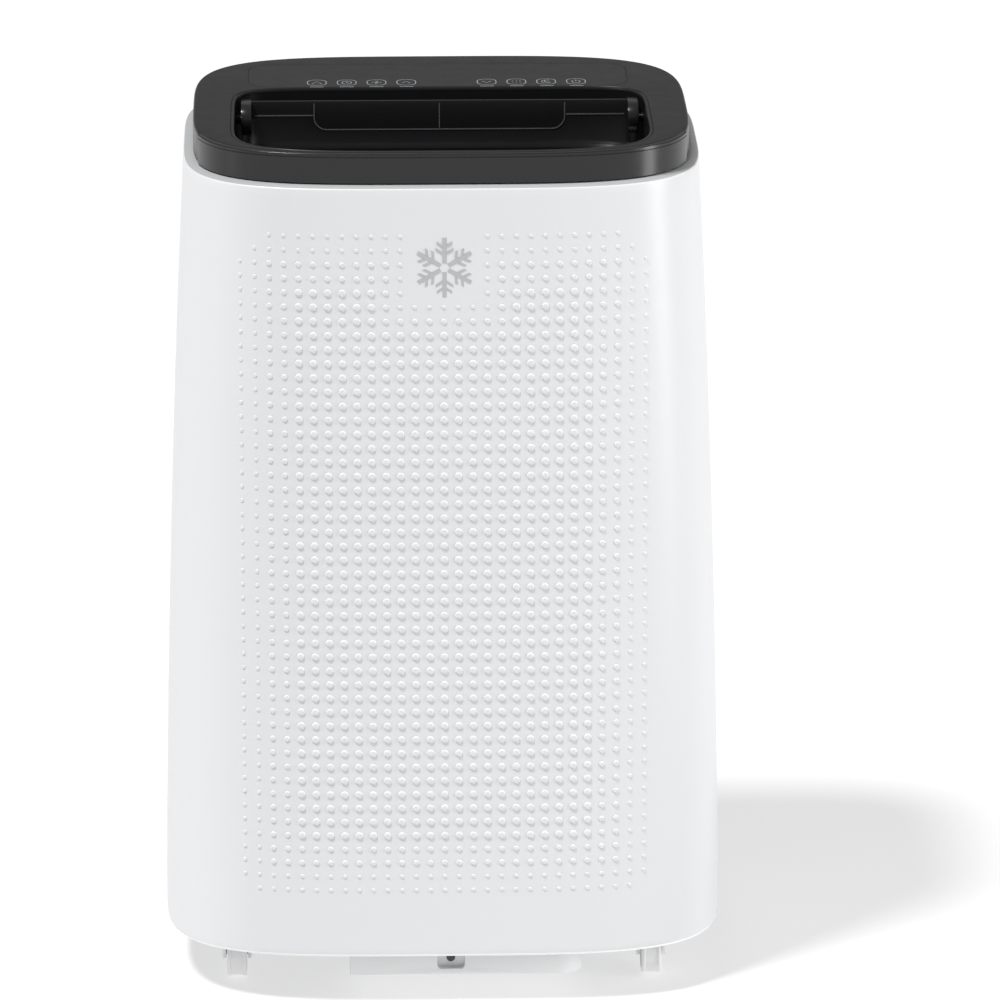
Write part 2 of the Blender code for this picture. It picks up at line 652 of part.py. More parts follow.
def sleeve(name, centre, radii, ends, steps, finish):
    """A short tube along Y, from its outer and inner radius and its two ends."""
    outer, inner = (circle(centre, radius, steps) for radius in radii)
    front, back = ends
    around = ((outer, front), (outer, back), (inner, back), (inner, front))
    rings = [[(x, y, z) for x, z in ring] for ring, y in around]
    return to_object(name, skin(rings, wrap_rows=True), finish)


def grille(word, span_x, span_z, ribs, slats):
    """Curved grille flush with the housing, and the filter net behind it."""
    edge = 0.008
    x0, x1 = span_x[0] + 0.0006, span_x[1] - 0.0006
    z0, z1 = span_z[0] + 0.0006, span_z[1] - 0.0006
    xs = [x0]
    for i in range(ribs + 1):
        low = x0 + edge + (x1 - x0 - 2 * edge + 0.004) * i / (ribs + 1)
        high = x0 + edge + (x1 - x0 - 2 * edge + 0.004) * (i + 1) / (ribs + 1) - 0.004
        xs += [low, (low + high) / 2, high]
    xs.append(x1)
    open_columns = {c for i in range(ribs + 1) for c in (1 + 3 * i, 2 + 3 * i)}
    zs = [z0]
    for i in range(slats):
        base = z0 + edge + (z1 - z0 - 2 * edge) * i / slats
        zs += [base, base + 0.6 * (z1 - z0 - 2 * edge) / slats]
    zs[-1] = z1 - edge
    zs.append(z1)

    def flush(x, z, layer):
        return x, casing_y(x, z) - 0.0008 - 0.0028 * layer, z

    def bar_or_slat(i, j):
        return i not in open_columns or j % 2 == 0

    lattice(f"{word}_intake_grille", xs, zs, bar_or_slat, flush, "white_plastic")

    def behind(x, z, layer):
        return x, casing_y(x, z) - 0.0050 - 0.0012 * layer, z

    net_xs = [x0 + (x1 - x0) * i / 8 for i in range(9)]
    lattice(f"{word}_filter_mesh", net_xs, [z0, (z0 + z1) / 2, z1], lambda i, j: True, behind, "filter_mesh")


def drains_and_gland():
    for name, (x, z) in (("upper_drain_cap", UPPER_DRAIN), ("lower_drain_plug", LOWER_DRAIN)):
        back = casing_y(x, z)
        profile = [
            (0.006, back - 0.026), (0.006, back - 0.012), (DRAIN_CAP_R, back - 0.012),
            (DRAIN_CAP_R, back - 0.001), (DRAIN_CAP_R - 0.001, back),
        ]
        cap = to_object(name, turned(profile, (x, z), "Y", 20), "rubber")
        on_axis(cap, (x, back, z))
    back = casing_y(*CORD_GLAND)
    ends = (back - 0.012, back + 0.003)
    sleeve("cord_gland", CORD_GLAND, (DRAIN_CAP_R, CORD_BORE_R), ends, 20, "rubber")


# Chassis


def base_pan():
    """Shallow tray that carries everything, with four bosses for the casters' stems."""
    z0, z1 = PAN_Z
    side = WALL + 0.0015
    rings = []
    for inset, z in ((side, z0), (side, z1), (side + WALL, z1), (side + WALL, z0 + 0.003)):
        half_x, half_y = half_sizes(z)
        rings.append(oval(half_x - inset, half_y - inset, z))
    pan = to_object("base_pan", skin(rings), "grey_plastic")
    bosses, holes = [], []
    for sx in (-1, 1):
        for sy in (-1, 1):
            centre = (sx * CASTER_XY[0], sy * CASTER_XY[1])
            bosses.append(cylinder("Z", centre, 0.010, z0 + 0.001, STEM_TOP + 0.004, 16))
            holes.append(cylinder("Z", centre, STEM_R + GAP, z0 - 0.01, STEM_TOP + 0.001, 16))
    boolean(pan, to_object("stem_bosses", merged(*bosses)), "UNION")
    boolean(pan, to_object("stem_holes", merged(*holes)))
    drain_hole = cylinder("Y", LOWER_DRAIN, DRAIN_CAP_R + FITTING_GAP, 0.15, 0.20)
    boolean(pan, to_object("pan_drain_hole", drain_hole))


def casters():
    """Four swivel casters: a fork with its stem, an axle pin and a wheel."""
    spots = {"front_left": (-1, -1), "front_right": (1, -1), "rear_left": (-1, 1), "rear_right": (1, 1)}
    for word, (sx, sy) in spots.items():
        x, y = sx * CASTER_XY[0], sy * CASTER_XY[1]
        axle = (y + CASTER_TRAIL, WHEEL_R)
        outer = FORK_INNER + FORK_PLATE
        plate = [(y - 0.012, 0.0385), (y - 0.006, FORK_TOP), (y + 0.030, FORK_TOP), (y + 0.030, 0.034)]
        plate += circle(axle, 0.005, 6, 0.0, -math.pi)
        fork = to_object(f"caster_fork_{word}", prism(plate, "X", x - outer, x + outer), "white_plastic")
        slot = box((x - FORK_INNER, y - 0.03, 0.0), (x + FORK_INNER, y + 0.05, 0.0388))
        pin_hole = cylinder("X", axle, AXLE_R + 0.0002, x - 0.02, x + 0.02, 12)
        boolean(fork, to_object(f"fork_slot_{word}", slot))
        boolean(fork, to_object(f"fork_pin_hole_{word}", pin_hole))
        stem = cylinder("Z", (x, y), STEM_R, FORK_TOP - 0.001, STEM_TOP, 16)
        boolean(fork, to_object(f"fork_stem_{word}", stem), "UNION")
        on_axis(fork, (x, y, FORK_TOP))

        half = WHEEL_WIDTH / 2
        r = WHEEL_R
        left, right = x - half, x + half
        tread = [(r - 0.0012, left), (r, left + 0.0016), (r, right - 0.0016), (r - 0.0012, right)]
        wheel = to_object(f"caster_wheel_{word}", turned(tread, axle, "X", 28), "white_plastic")
        bore = cylinder("X", axle, AXLE_R + 0.0004, x - 0.02, x + 0.02, 12)
        boolean(wheel, to_object(f"wheel_bore_{word}", bore))
        on_axis(wheel, (x, *axle))
        pin = cylinder("X", axle, AXLE_R, x - outer + 0.0004, x + outer - 0.0004, 12)
        to_object(f"caster_axle_{word}", pin, "steel")


def drain_skirt():
    """Sump tray that shows under the front: square at its left end, round at its right."""
    (x0, x1), (y0, y1), (z0, z1) = SKIRT_X, SKIRT_Y, SKIRT_Z

    def outline(inset):
        r = SKIRT_CORNER - inset
        round_end = circle((x1 - SKIRT_CORNER, y0 + SKIRT_CORNER), r, 8, -0.5 * math.pi, 0.0)
        return [(x0 + inset, y1 - inset), (x0 + inset, y0 + inset), *round_end, (x1 - inset, y1 - inset)]

    skirt = to_object("drain_skirt", prism(outline(0.0), "Z", z0, z1), "white_plastic")
    sump = box((x0 + WALL, y0 + 0.012, z0 + WALL), (x1 - SKIRT_CORNER, y1 - WALL, z1 + 0.01))
    boolean(skirt, to_object("sump_hollow", sump))
    px0, px1 = SKIRT_POCKET_X
    r = 0.003
    pocket = [(px1, z1 + 0.01), (px0, z1 + 0.01)]
    pocket += circle((px0 + r, SKIRT_POCKET_Z + r), r, 4, math.pi, 1.5 * math.pi)
    pocket += circle((px1 - r, SKIRT_POCKET_Z + r), r, 4, 1.5 * math.pi, 2 * math.pi)
    boolean(skirt, to_object("skirt_pocket", prism(pocket, "Y", y0 - 0.01, y0 + SKIRT_POCKET_DEPTH)))
    centre = ((px0 + px1) / 2, 0.0325)
    boolean(skirt, to_object("skirt_screw_hole", cylinder("Y", centre, 0.0018, y0, y0 + 0.010, 12)))
    floor = y0 + SKIRT_POCKET_DEPTH
    head, shank = 0.0034, 0.0015
    under = floor - GAP
    profile = [(head - 0.0002, floor - 0.0024), (head, under), (shank, under), (shank, floor + 0.003)]
    to_object("skirt_screw", turned(profile, centre, "Y", 16), "steel")


def mid_deck():
    """Partition and drip tray between the cold and the warm half; the pipes pass its left edge."""
    rings = []
    for z in DECK_Z:
        half_x, half_y = half_sizes(z)
        rings.append(oval(half_x - 0.0045, half_y - 0.0060, z))
    deck = to_object("mid_deck", skin(rings), "grey_plastic")
    boolean(deck, to_object("deck_notch", box((-0.3, -0.2, 0.3), (-0.155, 0.2, 0.4))))


# Refrigeration parts


def coil(name, low, high):
    """Finned coil block between two end plates."""
    block = to_object(name, box(low, high), "aluminium")
    (x0, y0, z0), (x1, y1, z1) = low, high
    plates = []
    for x in (x0 + 0.0005, x1 - 0.0005):
        plates.append(box((x - 0.001, y0 - 0.003, z0 - 0.002), (x + 0.001, y1 + 0.003, z1 + 0.002)))
    boolean(block, to_object(f"{name}_plates", merged(*plates)), "UNION")


def compressor():
    """Rotary compressor with its accumulator strapped to its side, on a three-footed rubber mount."""
    x, y = COMPRESSOR_XY
    r = COMPRESSOR_R
    body = [
        (r - 0.011, 0.0612), (r - 0.002, 0.0680), (r, 0.0760), (r, 0.2320), (r - 0.005, 0.2480),
        (r - 0.021, 0.2570), (0.012, 0.2600),
    ]
    made = to_object("compressor", turned(body, (x, y), "Z", 32), "painted_black")
    tank = [(0.008, 0.0900), (0.020, 0.1020), (0.020, 0.1880), (0.008, 0.2000)]
    boolean(made, to_object("accumulator", turned(tank, ACCUMULATOR_XY, "Z", 20)), "UNION")
    strap = box((-0.162, -0.046, 0.140), (-0.130, -0.028, 0.158))
    boolean(made, to_object("accumulator_strap", strap), "UNION")

    feet = []
    for i in range(3):
        angle = math.radians(30 + 120 * i)
        foot = (x + (r + 0.007) * math.cos(angle), y + (r + 0.007) * math.sin(angle))
        feet.append(cylinder("Z", foot, 0.010, 0.0474, 0.0606, 16))
    mount = to_object("compressor_mount", cylinder("Z", (x, y), r + 0.001, 0.0560, 0.0585), "rubber")
    boolean(mount, to_object("mount_feet", merged(*feet)), "UNION")


def refrigeration():
    coil("evaporator_coil", *EVAPORATOR)
    coil("condenser_coil", *CONDENSER)
    compressor()
    pipe("discharge_pipe", DISCHARGE_PATH, 0.0040, "copper")
    pipe("suction_pipe", SUCTION_PATH, 0.0050, "copper")


def slinger():
    """Splash wheel that throws condensate on the condenser, and its motor on a foot."""
    centre, r = SLINGER_CENTRE, SLINGER_R
    angles = [2 * math.pi * i / 24 for i in range(24)]

    def vane_ring(angle, y, layer):
        reach = r if layer == 0 else r - 0.007
        return centre[0] + reach * math.cos(angle), y, centre[1] + reach * math.sin(angle)

    def ring_or_vane(i, j):
        return j == 0 or i % 2 == 0

    levels = [0.046, 0.048, 0.053]
    wheel = lattice("slinger_wheel", angles, levels, ring_or_vane, vane_ring, "grey_plastic", wrap=True)
    web = turned([(0.006, 0.0520), (0.006, 0.0479), (r - 0.003, 0.0475), (r - 0.003, 0.0464)], centre, "Y")
    boolean(wheel, to_object("slinger_web", web), "UNION")
    boolean(wheel, to_object("slinger_bore", cylinder("Y", centre, 0.0023, 0.03, 0.07, 12)))
    on_axis(wheel, (centre[0], 0.049, centre[1]))
    motor = turned([(0.016, 0.014), (0.016, 0.0420), (0.0020, 0.0420), (0.0020, 0.0510)], centre, "Y")
    made = to_object("slinger_motor", motor, "steel")
    boolean(made, to_object("slinger_foot", box((-0.095, 0.018, 0.0474), (-0.075, 0.036, 0.075))), "UNION")


def electrics():
    case = to_object("electric_box", box((-0.148, -0.150, 0.285), (-0.052, -0.050, 0.362)), "grey_plastic")
    lip = box((-0.150, -0.152, 0.357), (-0.050, -0.048, 0.364))
    boolean(case, to_object("electric_box_lid", lip), "UNION")
    can = [(0.018, 0.285), (0.020, 0.287), (0.020, 0.338), (0.018, 0.340), (0.004, 0.340), (0.004, 0.348)]
    to_object("run_capacitor", turned(can, (-0.022, -0.128), "Z"), "aluminium")


def build():
    clear_scene()
    front_panel()
    rear_housing()
    handle_cups()
    top_cover()
    cover_fascia()
    control_panel()
    outlet_well()
    outlet_duct()
    guide_vanes()
    swing_flap()
    blower("evaporator", EVAP_BLOWER)
    blower("condenser", COND_BLOWER)
    exhaust()
    grille("upper", UPPER_GRILLE_X, UPPER_GRILLE_Z, 3, 11)
    grille("lower", LOWER_GRILLE_X, LOWER_GRILLE_Z, 1, 12)
    drains_and_gland()
    base_pan()
    casters()
    drain_skirt()
    mid_deck()
    refrigeration()
    slinger()
    electrics()


build()
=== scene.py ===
import json
import math

import bmesh
import bpy
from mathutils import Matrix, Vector


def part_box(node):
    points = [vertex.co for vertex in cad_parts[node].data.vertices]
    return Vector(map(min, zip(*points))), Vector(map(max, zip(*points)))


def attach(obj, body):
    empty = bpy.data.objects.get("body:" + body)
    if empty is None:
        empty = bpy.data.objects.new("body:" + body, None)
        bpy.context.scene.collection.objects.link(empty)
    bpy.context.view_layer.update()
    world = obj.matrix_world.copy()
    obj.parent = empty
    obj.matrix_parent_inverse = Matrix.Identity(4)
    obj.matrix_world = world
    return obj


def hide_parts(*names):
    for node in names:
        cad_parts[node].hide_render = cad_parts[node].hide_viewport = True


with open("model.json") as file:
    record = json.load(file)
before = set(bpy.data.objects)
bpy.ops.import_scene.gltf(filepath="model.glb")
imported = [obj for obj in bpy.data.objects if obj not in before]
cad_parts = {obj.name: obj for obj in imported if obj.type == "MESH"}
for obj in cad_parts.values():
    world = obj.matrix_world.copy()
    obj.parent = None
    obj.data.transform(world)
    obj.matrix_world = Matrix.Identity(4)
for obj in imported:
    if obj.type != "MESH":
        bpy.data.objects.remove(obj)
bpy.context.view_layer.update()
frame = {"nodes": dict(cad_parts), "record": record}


# Base pan: a shallow grey polypropylene tray that catches condensate and carries every other part.
# It is injection moulded in one piece, with four bosses that take the casters' stems.

UNEVEN_SCALE, GLOSS_SCALE, GLOSS_SPREAD, GRAIN_DEPTH = 14.0, 60.0, 0.06, 0.0004
WELD = 1e-6


def finish(name, colour, roughness, metallic=0.0, mottle=0.02, grain=900.0, relief=0.02, coat=0.0,
           specular=0.5):
    """A surface with slightly uneven colour and gloss, and a fine grain in relief."""
    made = bpy.data.materials.new(name)
    made.use_nodes = True
    nodes, links = made.node_tree.nodes, made.node_tree.links
    shader = nodes["Principled BSDF"]
    shader.inputs["Metallic"].default_value = metallic
    shader.inputs["Coat Weight"].default_value = coat
    shader.inputs["Specular IOR Level"].default_value = specular
    place = nodes.new("ShaderNodeTexCoord").outputs["Object"]

    def cloud(scale, detail):
        noise = nodes.new("ShaderNodeTexNoise")
        noise.inputs["Scale"].default_value = scale
        noise.inputs["Detail"].default_value = detail
        links.new(place, noise.inputs["Vector"])
        return noise.outputs["Fac"]

    shade = nodes.new("ShaderNodeMix")
    shade.data_type = "RGBA"
    shade.inputs["A"].default_value = (*(c * (1 - mottle) for c in colour), 1)
    shade.inputs["B"].default_value = (*(min(1.0, c * (1 + mottle)) for c in colour), 1)
    links.new(cloud(UNEVEN_SCALE, 3.0), shade.inputs["Factor"])
    links.new(shade.outputs["Result"], shader.inputs["Base Color"])
    gloss = nodes.new("ShaderNodeMapRange")
    gloss.inputs["To Min"].default_value = max(0.02, roughness - GLOSS_SPREAD)
    gloss.inputs["To Max"].default_value = min(1.0, roughness + GLOSS_SPREAD)
    links.new(cloud(GLOSS_SCALE, 4.0), gloss.inputs["Value"])
    links.new(gloss.outputs["Result"], shader.inputs["Roughness"])
    bump = nodes.new("ShaderNodeBump")
    bump.inputs["Strength"].default_value = relief
    bump.inputs["Distance"].default_value = GRAIN_DEPTH
    links.new(cloud(grain, 2.0), bump.inputs["Height"])
    links.new(bump.outputs["Normal"], shader.inputs["Normal"])
    return made


def plain_mesh(name, bm, material, smooth_below=35.0):
    """A mesh object from an edit mesh: faces outwards, smooth across its gentle edges."""
    bmesh.ops.remove_doubles(bm, verts=bm.verts, dist=WELD)
    bmesh.ops.recalc_face_normals(bm, faces=bm.faces)
    mesh = bpy.data.meshes.new(name)
    bm.to_mesh(mesh)
    bm.free()
    mesh.materials.append(material)
    mesh.shade_smooth()
    mesh.set_sharp_from_angle(angle=math.radians(smooth_below))
    made = bpy.data.objects.new(name, mesh)
    bpy.context.scene.collection.objects.link(made)
    return made


def settle(piece, body, slot, *nodes):
    """Attaches a finished piece to its body and hides the CAD nodes it stands for; its slot is not used."""
    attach(piece, body)
    if nodes:
        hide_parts(*nodes)
    return piece


bodies = frame["record"]["behaviour"]["bodies"]
body_of_node = {node: body for body, nodes in bodies.items() for node in nodes}
slot_of_node = {part["node"]: part["material_slot"] for part in frame["record"]["subparts"]}


def dressed(node, name, material, bevel=0.0005, sharp=30.0):
    """A finished copy of a CAD node: its triangles joined, its sharp edges rounded, smooth elsewhere."""
    bm = bmesh.new()
    bm.from_mesh(frame["nodes"][node].data)
    bmesh.ops.remove_doubles(bm, verts=bm.verts, dist=WELD)
    bmesh.ops.dissolve_limit(bm, angle_limit=math.radians(0.5), verts=bm.verts, edges=bm.edges)
    hard = [e for e in bm.edges if len(e.link_faces) == 2 and e.calc_face_angle(0.0) > math.radians(sharp)]
    bmesh.ops.bevel(bm, geom=hard, offset=bevel, segments=2, profile=0.6, affect="EDGES", clamp_overlap=True)
    bmesh.ops.triangulate(bm, faces=[f for f in bm.faces if len(f.verts) > 4])
    made = plain_mesh(name, bm, material)
    return settle(made, body_of_node[node], slot_of_node[node], node)


class Tree:
    """A geometry node tree in the making, with named inputs."""

    def __init__(self, name):
        self.group = bpy.data.node_groups.new(name, "GeometryNodeTree")
        self.group.interface.new_socket("Geometry", in_out="OUTPUT", socket_type="NodeSocketGeometry")
        self.entry = self.group.nodes.new("NodeGroupInput")
        self.sockets = {}

    def add(self, kind, settings=(), **links):
        """Adds a node. A link is a socket, or a plain value for the input's default."""
        node = self.group.nodes.new(kind)
        for key, value in dict(settings).items():
            setattr(node, key, value)
        for key, value in links.items():
            wanted = key.replace("_", " ")
            named = [s for s in node.inputs if s.name == wanted and s.enabled]
            socket = named[0] if named else node.inputs[int(key[1:])]
            if isinstance(value, bpy.types.NodeSocket):
                self.group.links.new(value, socket)
            else:
                socket.default_value = value
        return node

    def value(self, name, kind):
        """A named input of the tree."""
        socket = self.group.interface.new_socket(name, in_out="INPUT", socket_type=kind)
        self.sockets[name] = socket.identifier
        return self.entry.outputs[name]

    def values(self, kind, *names):
        return [self.value(name, kind) for name in names]

    def math(self, operation, result, *terms):
        """Applies an operation to two values, or to more in turn."""
        for term in terms or (0.0,):
            result = self.add("ShaderNodeMath", {"operation": operation}, i0=result, i1=term).outputs[0]
        return result

    def close(self, geometry, material):
        """Realizes the copies, sets their material and ends the tree."""
        real = self.add("GeometryNodeRealizeInstances", Geometry=geometry)
        painted = self.add("GeometryNodeSetMaterial", Geometry=real.outputs[0], Material=material)
        self.add("NodeGroupOutput", i0=painted.outputs[0])


def grown(name, tree, values, material):
    """Runs a tree once and gives its result as an object with a plain mesh."""
    holder = bpy.data.objects.new(name, bpy.data.meshes.new(name))
    bpy.context.scene.collection.objects.link(holder)
    modifier = holder.modifiers.new("grow", "NODES")
    modifier.node_group = tree.group
    for key, value in values.items():
        modifier[tree.sockets[key]] = value
    bpy.context.view_layer.update()
    mesh = bpy.data.meshes.new_from_object(holder.evaluated_get(bpy.context.evaluated_depsgraph_get()))
    mesh.name = name
    holder.modifiers.remove(modifier)
    holder.data = mesh
    if not mesh.materials:
        mesh.materials.append(material)
    return holder


def row_tree(name, bend=None):
    """Copies of a shape in a row, each turned a little further. They can be bent once in place."""
    tree = Tree(name)
    shape = tree.value("Shape", "NodeSocketObject")
    count = tree.value("Count", "NodeSocketInt")
    first, step, turn = tree.values("NodeSocketVector", "First Place", "Step", "Turn Each")
    material = tree.value("Material", "NodeSocketMaterial")
    line = tree.add("GeometryNodeMeshLine", {"mode": "OFFSET"}, Count=count, Start_Location=first,
                    Offset=step)
    index = tree.add("GeometryNodeInputIndex").outputs[0]
    spin = tree.add("ShaderNodeVectorMath", {"operation": "SCALE"}, i0=turn, Scale=index)
    turned = tree.add("FunctionNodeEulerToRotation", i0=spin.outputs[0])
    part = tree.add("GeometryNodeObjectInfo", Object=shape)
    placed = tree.add("GeometryNodeInstanceOnPoints", Points=line.outputs[0],
                      Instance=part.outputs["Geometry"], Rotation=turned.outputs[0])
    geometry = placed.outputs[0]
    if bend:
        geometry = bend(tree, geometry)
    tree.close(geometry, material)
    return tree


plain_row = row_tree("copies in a row")


def copies(name, bm, material, count, first=(0, 0, 0), step=(0, 0, 0), turn=(0, 0, 0), tree=plain_row):
    """One piece made of copies of a shape; the turns are in degrees."""
    shape = plain_mesh("shape", bm, material)
    made = grown(name, tree, {
        "Shape": shape, "Count": count, "First Place": first, "Step": step,
        "Turn Each": [math.radians(a) for a in turn], "Material": material}, material)
    bpy.data.objects.remove(shape)
    return made


def bar(low, high, cuts=0):
    """An edit mesh of a box, with extra cuts along X so that it can bend."""
    bm = bmesh.new()
    xs = [low[0] + (high[0] - low[0]) * i / (cuts + 1) for i in range(cuts + 2)]
    rings = []
    for x in xs:
        corners = ((low[1], low[2]), (high[1], low[2]), (high[1], high[2]), (low[1], high[2]))
        rings.append([bm.verts.new((x, y, z)) for y, z in corners])
    for first, second in zip(rings, rings[1:]):
        for i in range(4):
            bm.faces.new((first[i], first[(i + 1) % 4], second[(i + 1) % 4], second[i]))
    bm.faces.new(rings[0])
    bm.faces.new(rings[-1])
    return bm


pan_plastic = finish("pan_plastic", (0.40, 0.41, 0.43), 0.5, mottle=0.04, relief=0.05)
dressed("base_pan", "base_tray", pan_plastic, bevel=0.0006)
rib = bar((-0.130, -0.001, 0.0420), (0.130, 0.001, 0.0445))
tray_ribs = copies("tray_ribs", rib, pan_plastic, 7, first=(0, -0.066, 0), step=(0, 0.030, 0))
settle(tray_ribs, "casing", "pan_grey")


# Casters: four white nylon swivel casters under the corners. Each has a moulded fork with a stem
# that clips into the pan, a bright axle pin with domed ends, and a narrow wheel with a spoked hub.

nylon = finish("caster_nylon", (0.90, 0.90, 0.90), 0.40, mottle=0.03, relief=0.04)
bright_steel = finish("bright_steel", (0.62, 0.62, 0.64), 0.28, metallic=1.0, mottle=0.05, grain=300.0)
caster_corners = ("front_left", "front_right", "rear_left", "rear_right")
TIP = 0.0002


def loops(rows, wrap_rows=False):
    """A closed edit mesh over rows of points, each a closed loop. End rows are capped unless they wrap."""
    bm = bmesh.new()
    grid = [[bm.verts.new(point) for point in row] for row in rows]
    count = len(grid[0])
    pairs = list(zip(grid, grid[1:])) + ([(grid[-1], grid[0])] if wrap_rows else [])
    for first, second in pairs:
        for i in range(count):
            j = (i + 1) % count
            bm.faces.new((first[i], first[j], second[j], second[i]))
    if not wrap_rows:
        bm.faces.new(grid[0])
        bm.faces.new(grid[-1])
    return bm


def arc(centre, radius, start, end, steps):
    """Points of an arc with both its ends; the angles are in degrees."""
    angles = [math.radians(start + (end - start) * i / steps) for i in range(steps + 1)]
    return [(centre[0] + radius * math.cos(a), centre[1] + radius * math.sin(a)) for a in angles]


def circle(radius, steps):
    return arc((0, 0), radius, 0, 360 - 360 / steps, steps - 1)


def on_axis(axis, level, u, v):
    """A point at a level along an axis. The other two coordinates are u and v, in order."""
    return {"X": (level, u, v), "Y": (u, level, v), "Z": (u, v, level)}[axis]


def lathed(profile, centre, axis, steps=48, hollow=False):
    """A solid of revolution from (radius, level) pairs. A hollow one's profile is a closed loop."""
    return loops([[on_axis(axis, level, centre[0] + u, centre[1] + v) for u, v in circle(radius, steps)]
                  for radius, level in profile], wrap_rows=hollow)


def caster_wheel(corner):
    """A tread with two raised rims, a thin web, and a hub round the axle."""
    low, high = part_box(f"caster_wheel_{corner}")
    middle = (low + high) / 2
    half, radius, bore = (high.x - low.x) / 2, (high.z - low.z) / 2, 0.0024
    rim_in, hub, web, spoke_in = radius - 0.0040, 0.0060, 0.0012, half - 0.0016
    side = [
        (bore, half - 0.0004), (hub - 0.0004, half - 0.0004), (hub, half - 0.0010), (hub, web),
        (rim_in, web), (rim_in, half - 0.0003), (rim_in + 0.0005, half), (radius - 0.0014, half),
        (radius - 0.0004, half - 0.0005), (radius, half - 0.0014), (radius, half - 0.0024),
        (radius - 0.0007, half - 0.0031),
    ]
    profile = [(r, middle.x + x) for r, x in side] + [(r, middle.x - x) for r, x in reversed(side)]
    wheel = lathed(profile, (middle.y, middle.z), "X", hollow=True)
    made = plain_mesh(f"wheel_{corner}", wheel, nylon)
    settle(made, f"{corner}_wheel", "caster_white", f"caster_wheel_{corner}")
    spoke = bar((-spoke_in, -0.0005, hub - 0.0005), (spoke_in, 0.0005, rim_in + 0.0004))
    spokes = copies(f"spokes_{corner}", spoke, nylon, 6, first=middle, turn=(60, 0, 0))
    settle(spokes, f"{corner}_wheel", "caster_white")


def caster_axle(corner):
    low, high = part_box(f"caster_axle_{corner}")
    middle = (low + high) / 2
    half, radius = (high.x - low.x) / 2, (high.z - low.z) / 2
    dome = radius * 0.4
    end = [(TIP, half)] + [(r, half - dome * (1 - rise)) for r, rise in
                           ((u, v / radius) for u, v in arc((0, 0), radius, 80, 0, 4))]
    profile = [(r, middle.x + x) for r, x in end] + [(r, middle.x - x) for r, x in reversed(end)]
    made = plain_mesh(f"axle_{corner}", lathed(profile, (middle.y, middle.z), "X", 24), bright_steel)
    settle(made, f"{corner}_fork", "axle_steel", f"caster_axle_{corner}")


for corner in caster_corners:
    caster_wheel(corner)
    caster_axle(corner)
    dressed(f"caster_fork_{corner}", f"fork_{corner}", nylon, bevel=0.0007)


# Drain skirt: the white moulded front of the sump, under the casing. It is square at its left end
# and rounded at its right, and a single recessed screw in a small pocket holds it.

shell_white = (0.69, 0.695, 0.705)
shell_plastic = finish("shell_plastic", shell_white, 0.36, mottle=0.006, grain=1400.0, relief=0.010)
skirt_plastic = finish("skirt_plastic", (0.84, 0.845, 0.85), 0.36, mottle=0.01, relief=0.02)
dressed("drain_skirt", "skirt", skirt_plastic, bevel=0.0010)
dark_screw = finish("blackened_screw", (0.10, 0.10, 0.105), 0.35, metallic=1.0, mottle=0.1, grain=400.0)


def carve(piece, *cutters):
    """Cuts closed shapes out of a piece."""
    whole = bmesh.new()
    for cutter in cutters:
        bmesh.ops.recalc_face_normals(cutter, faces=cutter.faces)
        spare = bpy.data.meshes.new("spare")
        cutter.to_mesh(spare)
        whole.from_mesh(spare)
    tool = plain_mesh("tool", whole, piece.data.materials[0])
    modifier = piece.modifiers.new("cut", "BOOLEAN")
    modifier.operation, modifier.object = "DIFFERENCE", tool
    bpy.context.view_layer.update()
    mesh = bpy.data.meshes.new_from_object(piece.evaluated_get(bpy.context.evaluated_depsgraph_get()))
    piece.modifiers.remove(modifier)
    bm = bmesh.new()
    bm.from_mesh(mesh)
    bmesh.ops.remove_doubles(bm, verts=bm.verts, dist=WELD)
    bm.to_mesh(mesh)
    bm.free()
    mesh.shade_smooth()
    mesh.set_sharp_from_angle(angle=math.radians(35))
    piece.data = mesh
    bpy.data.objects.remove(tool)
    return piece


def screw_head(radius):
    """The head of a pan-head screw that points along -Y, with a cross recess."""
    profile = [(1.0, 0.0), (0.97, -0.35), (0.75, -0.60), (0.40, -0.72)]
    domed = lathed([(radius * r, radius * y) for r, y in profile], (0, 0), "Y", 20)
    head = plain_mesh("head", domed, dark_screw)
    long, narrow, deep = 0.55 * radius, 0.12 * radius, -0.35 * radius
    carve(head, bar((-long, -radius, -narrow), (long, deep, narrow)))
    carve(head, bar((-narrow, -radius, -long), (narrow, deep, long)))
    bm = bmesh.new()
    bm.from_mesh(head.data)
    bpy.data.objects.remove(head)
    return bm


low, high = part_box("skirt_screw")
head = screw_head(0.0034)
bmesh.ops.translate(head, verts=head.verts, vec=((low.x + high.x) / 2, high.y - 0.0030, (low.z + high.z) / 2))
settle(plain_mesh("skirt_fixing", head, dark_screw), "casing", "axle_steel", "skirt_screw")


# Compressor and pipes: a black enamelled rotary compressor with its accumulator, on a rubber mount,
# and drawn copper pipes brazed to it.

enamel = finish("compressor_enamel", (0.015, 0.015, 0.017), 0.25, mottle=0.1, grain=200.0, coat=0.3)
rubber = finish("black_rubber", (0.022, 0.022, 0.023), 0.75, mottle=0.1, grain=700.0, relief=0.1)
copper = finish("drawn_copper", (0.70, 0.33, 0.18), 0.30, metallic=1.0, mottle=0.12, grain=250.0)
dressed("compressor", "compressor_shell", enamel, bevel=0.0012)
dressed("compressor_mount", "compressor_feet", rubber, bevel=0.0006)
dressed("discharge_pipe", "hot_gas_pipe", copper, bevel=0.0002)
dressed("suction_pipe", "return_pipe", copper, bevel=0.0002)


# Coils: rows of thin aluminium fins pressed on copper tubes, between two end plates. The evaporator
# stands on the deck behind the upper grille, and the condenser in the pan behind the lower one.

coil_fins = finish("coil_fins", (0.72, 0.73, 0.75), 0.40, metallic=1.0, mottle=0.06, grain=500.0)
END_PLATE, FIN, FIN_PITCH, TUBE_RADIUS, TUBE_END = 0.0015, 0.0003, 0.0022, 0.0035, 0.0008


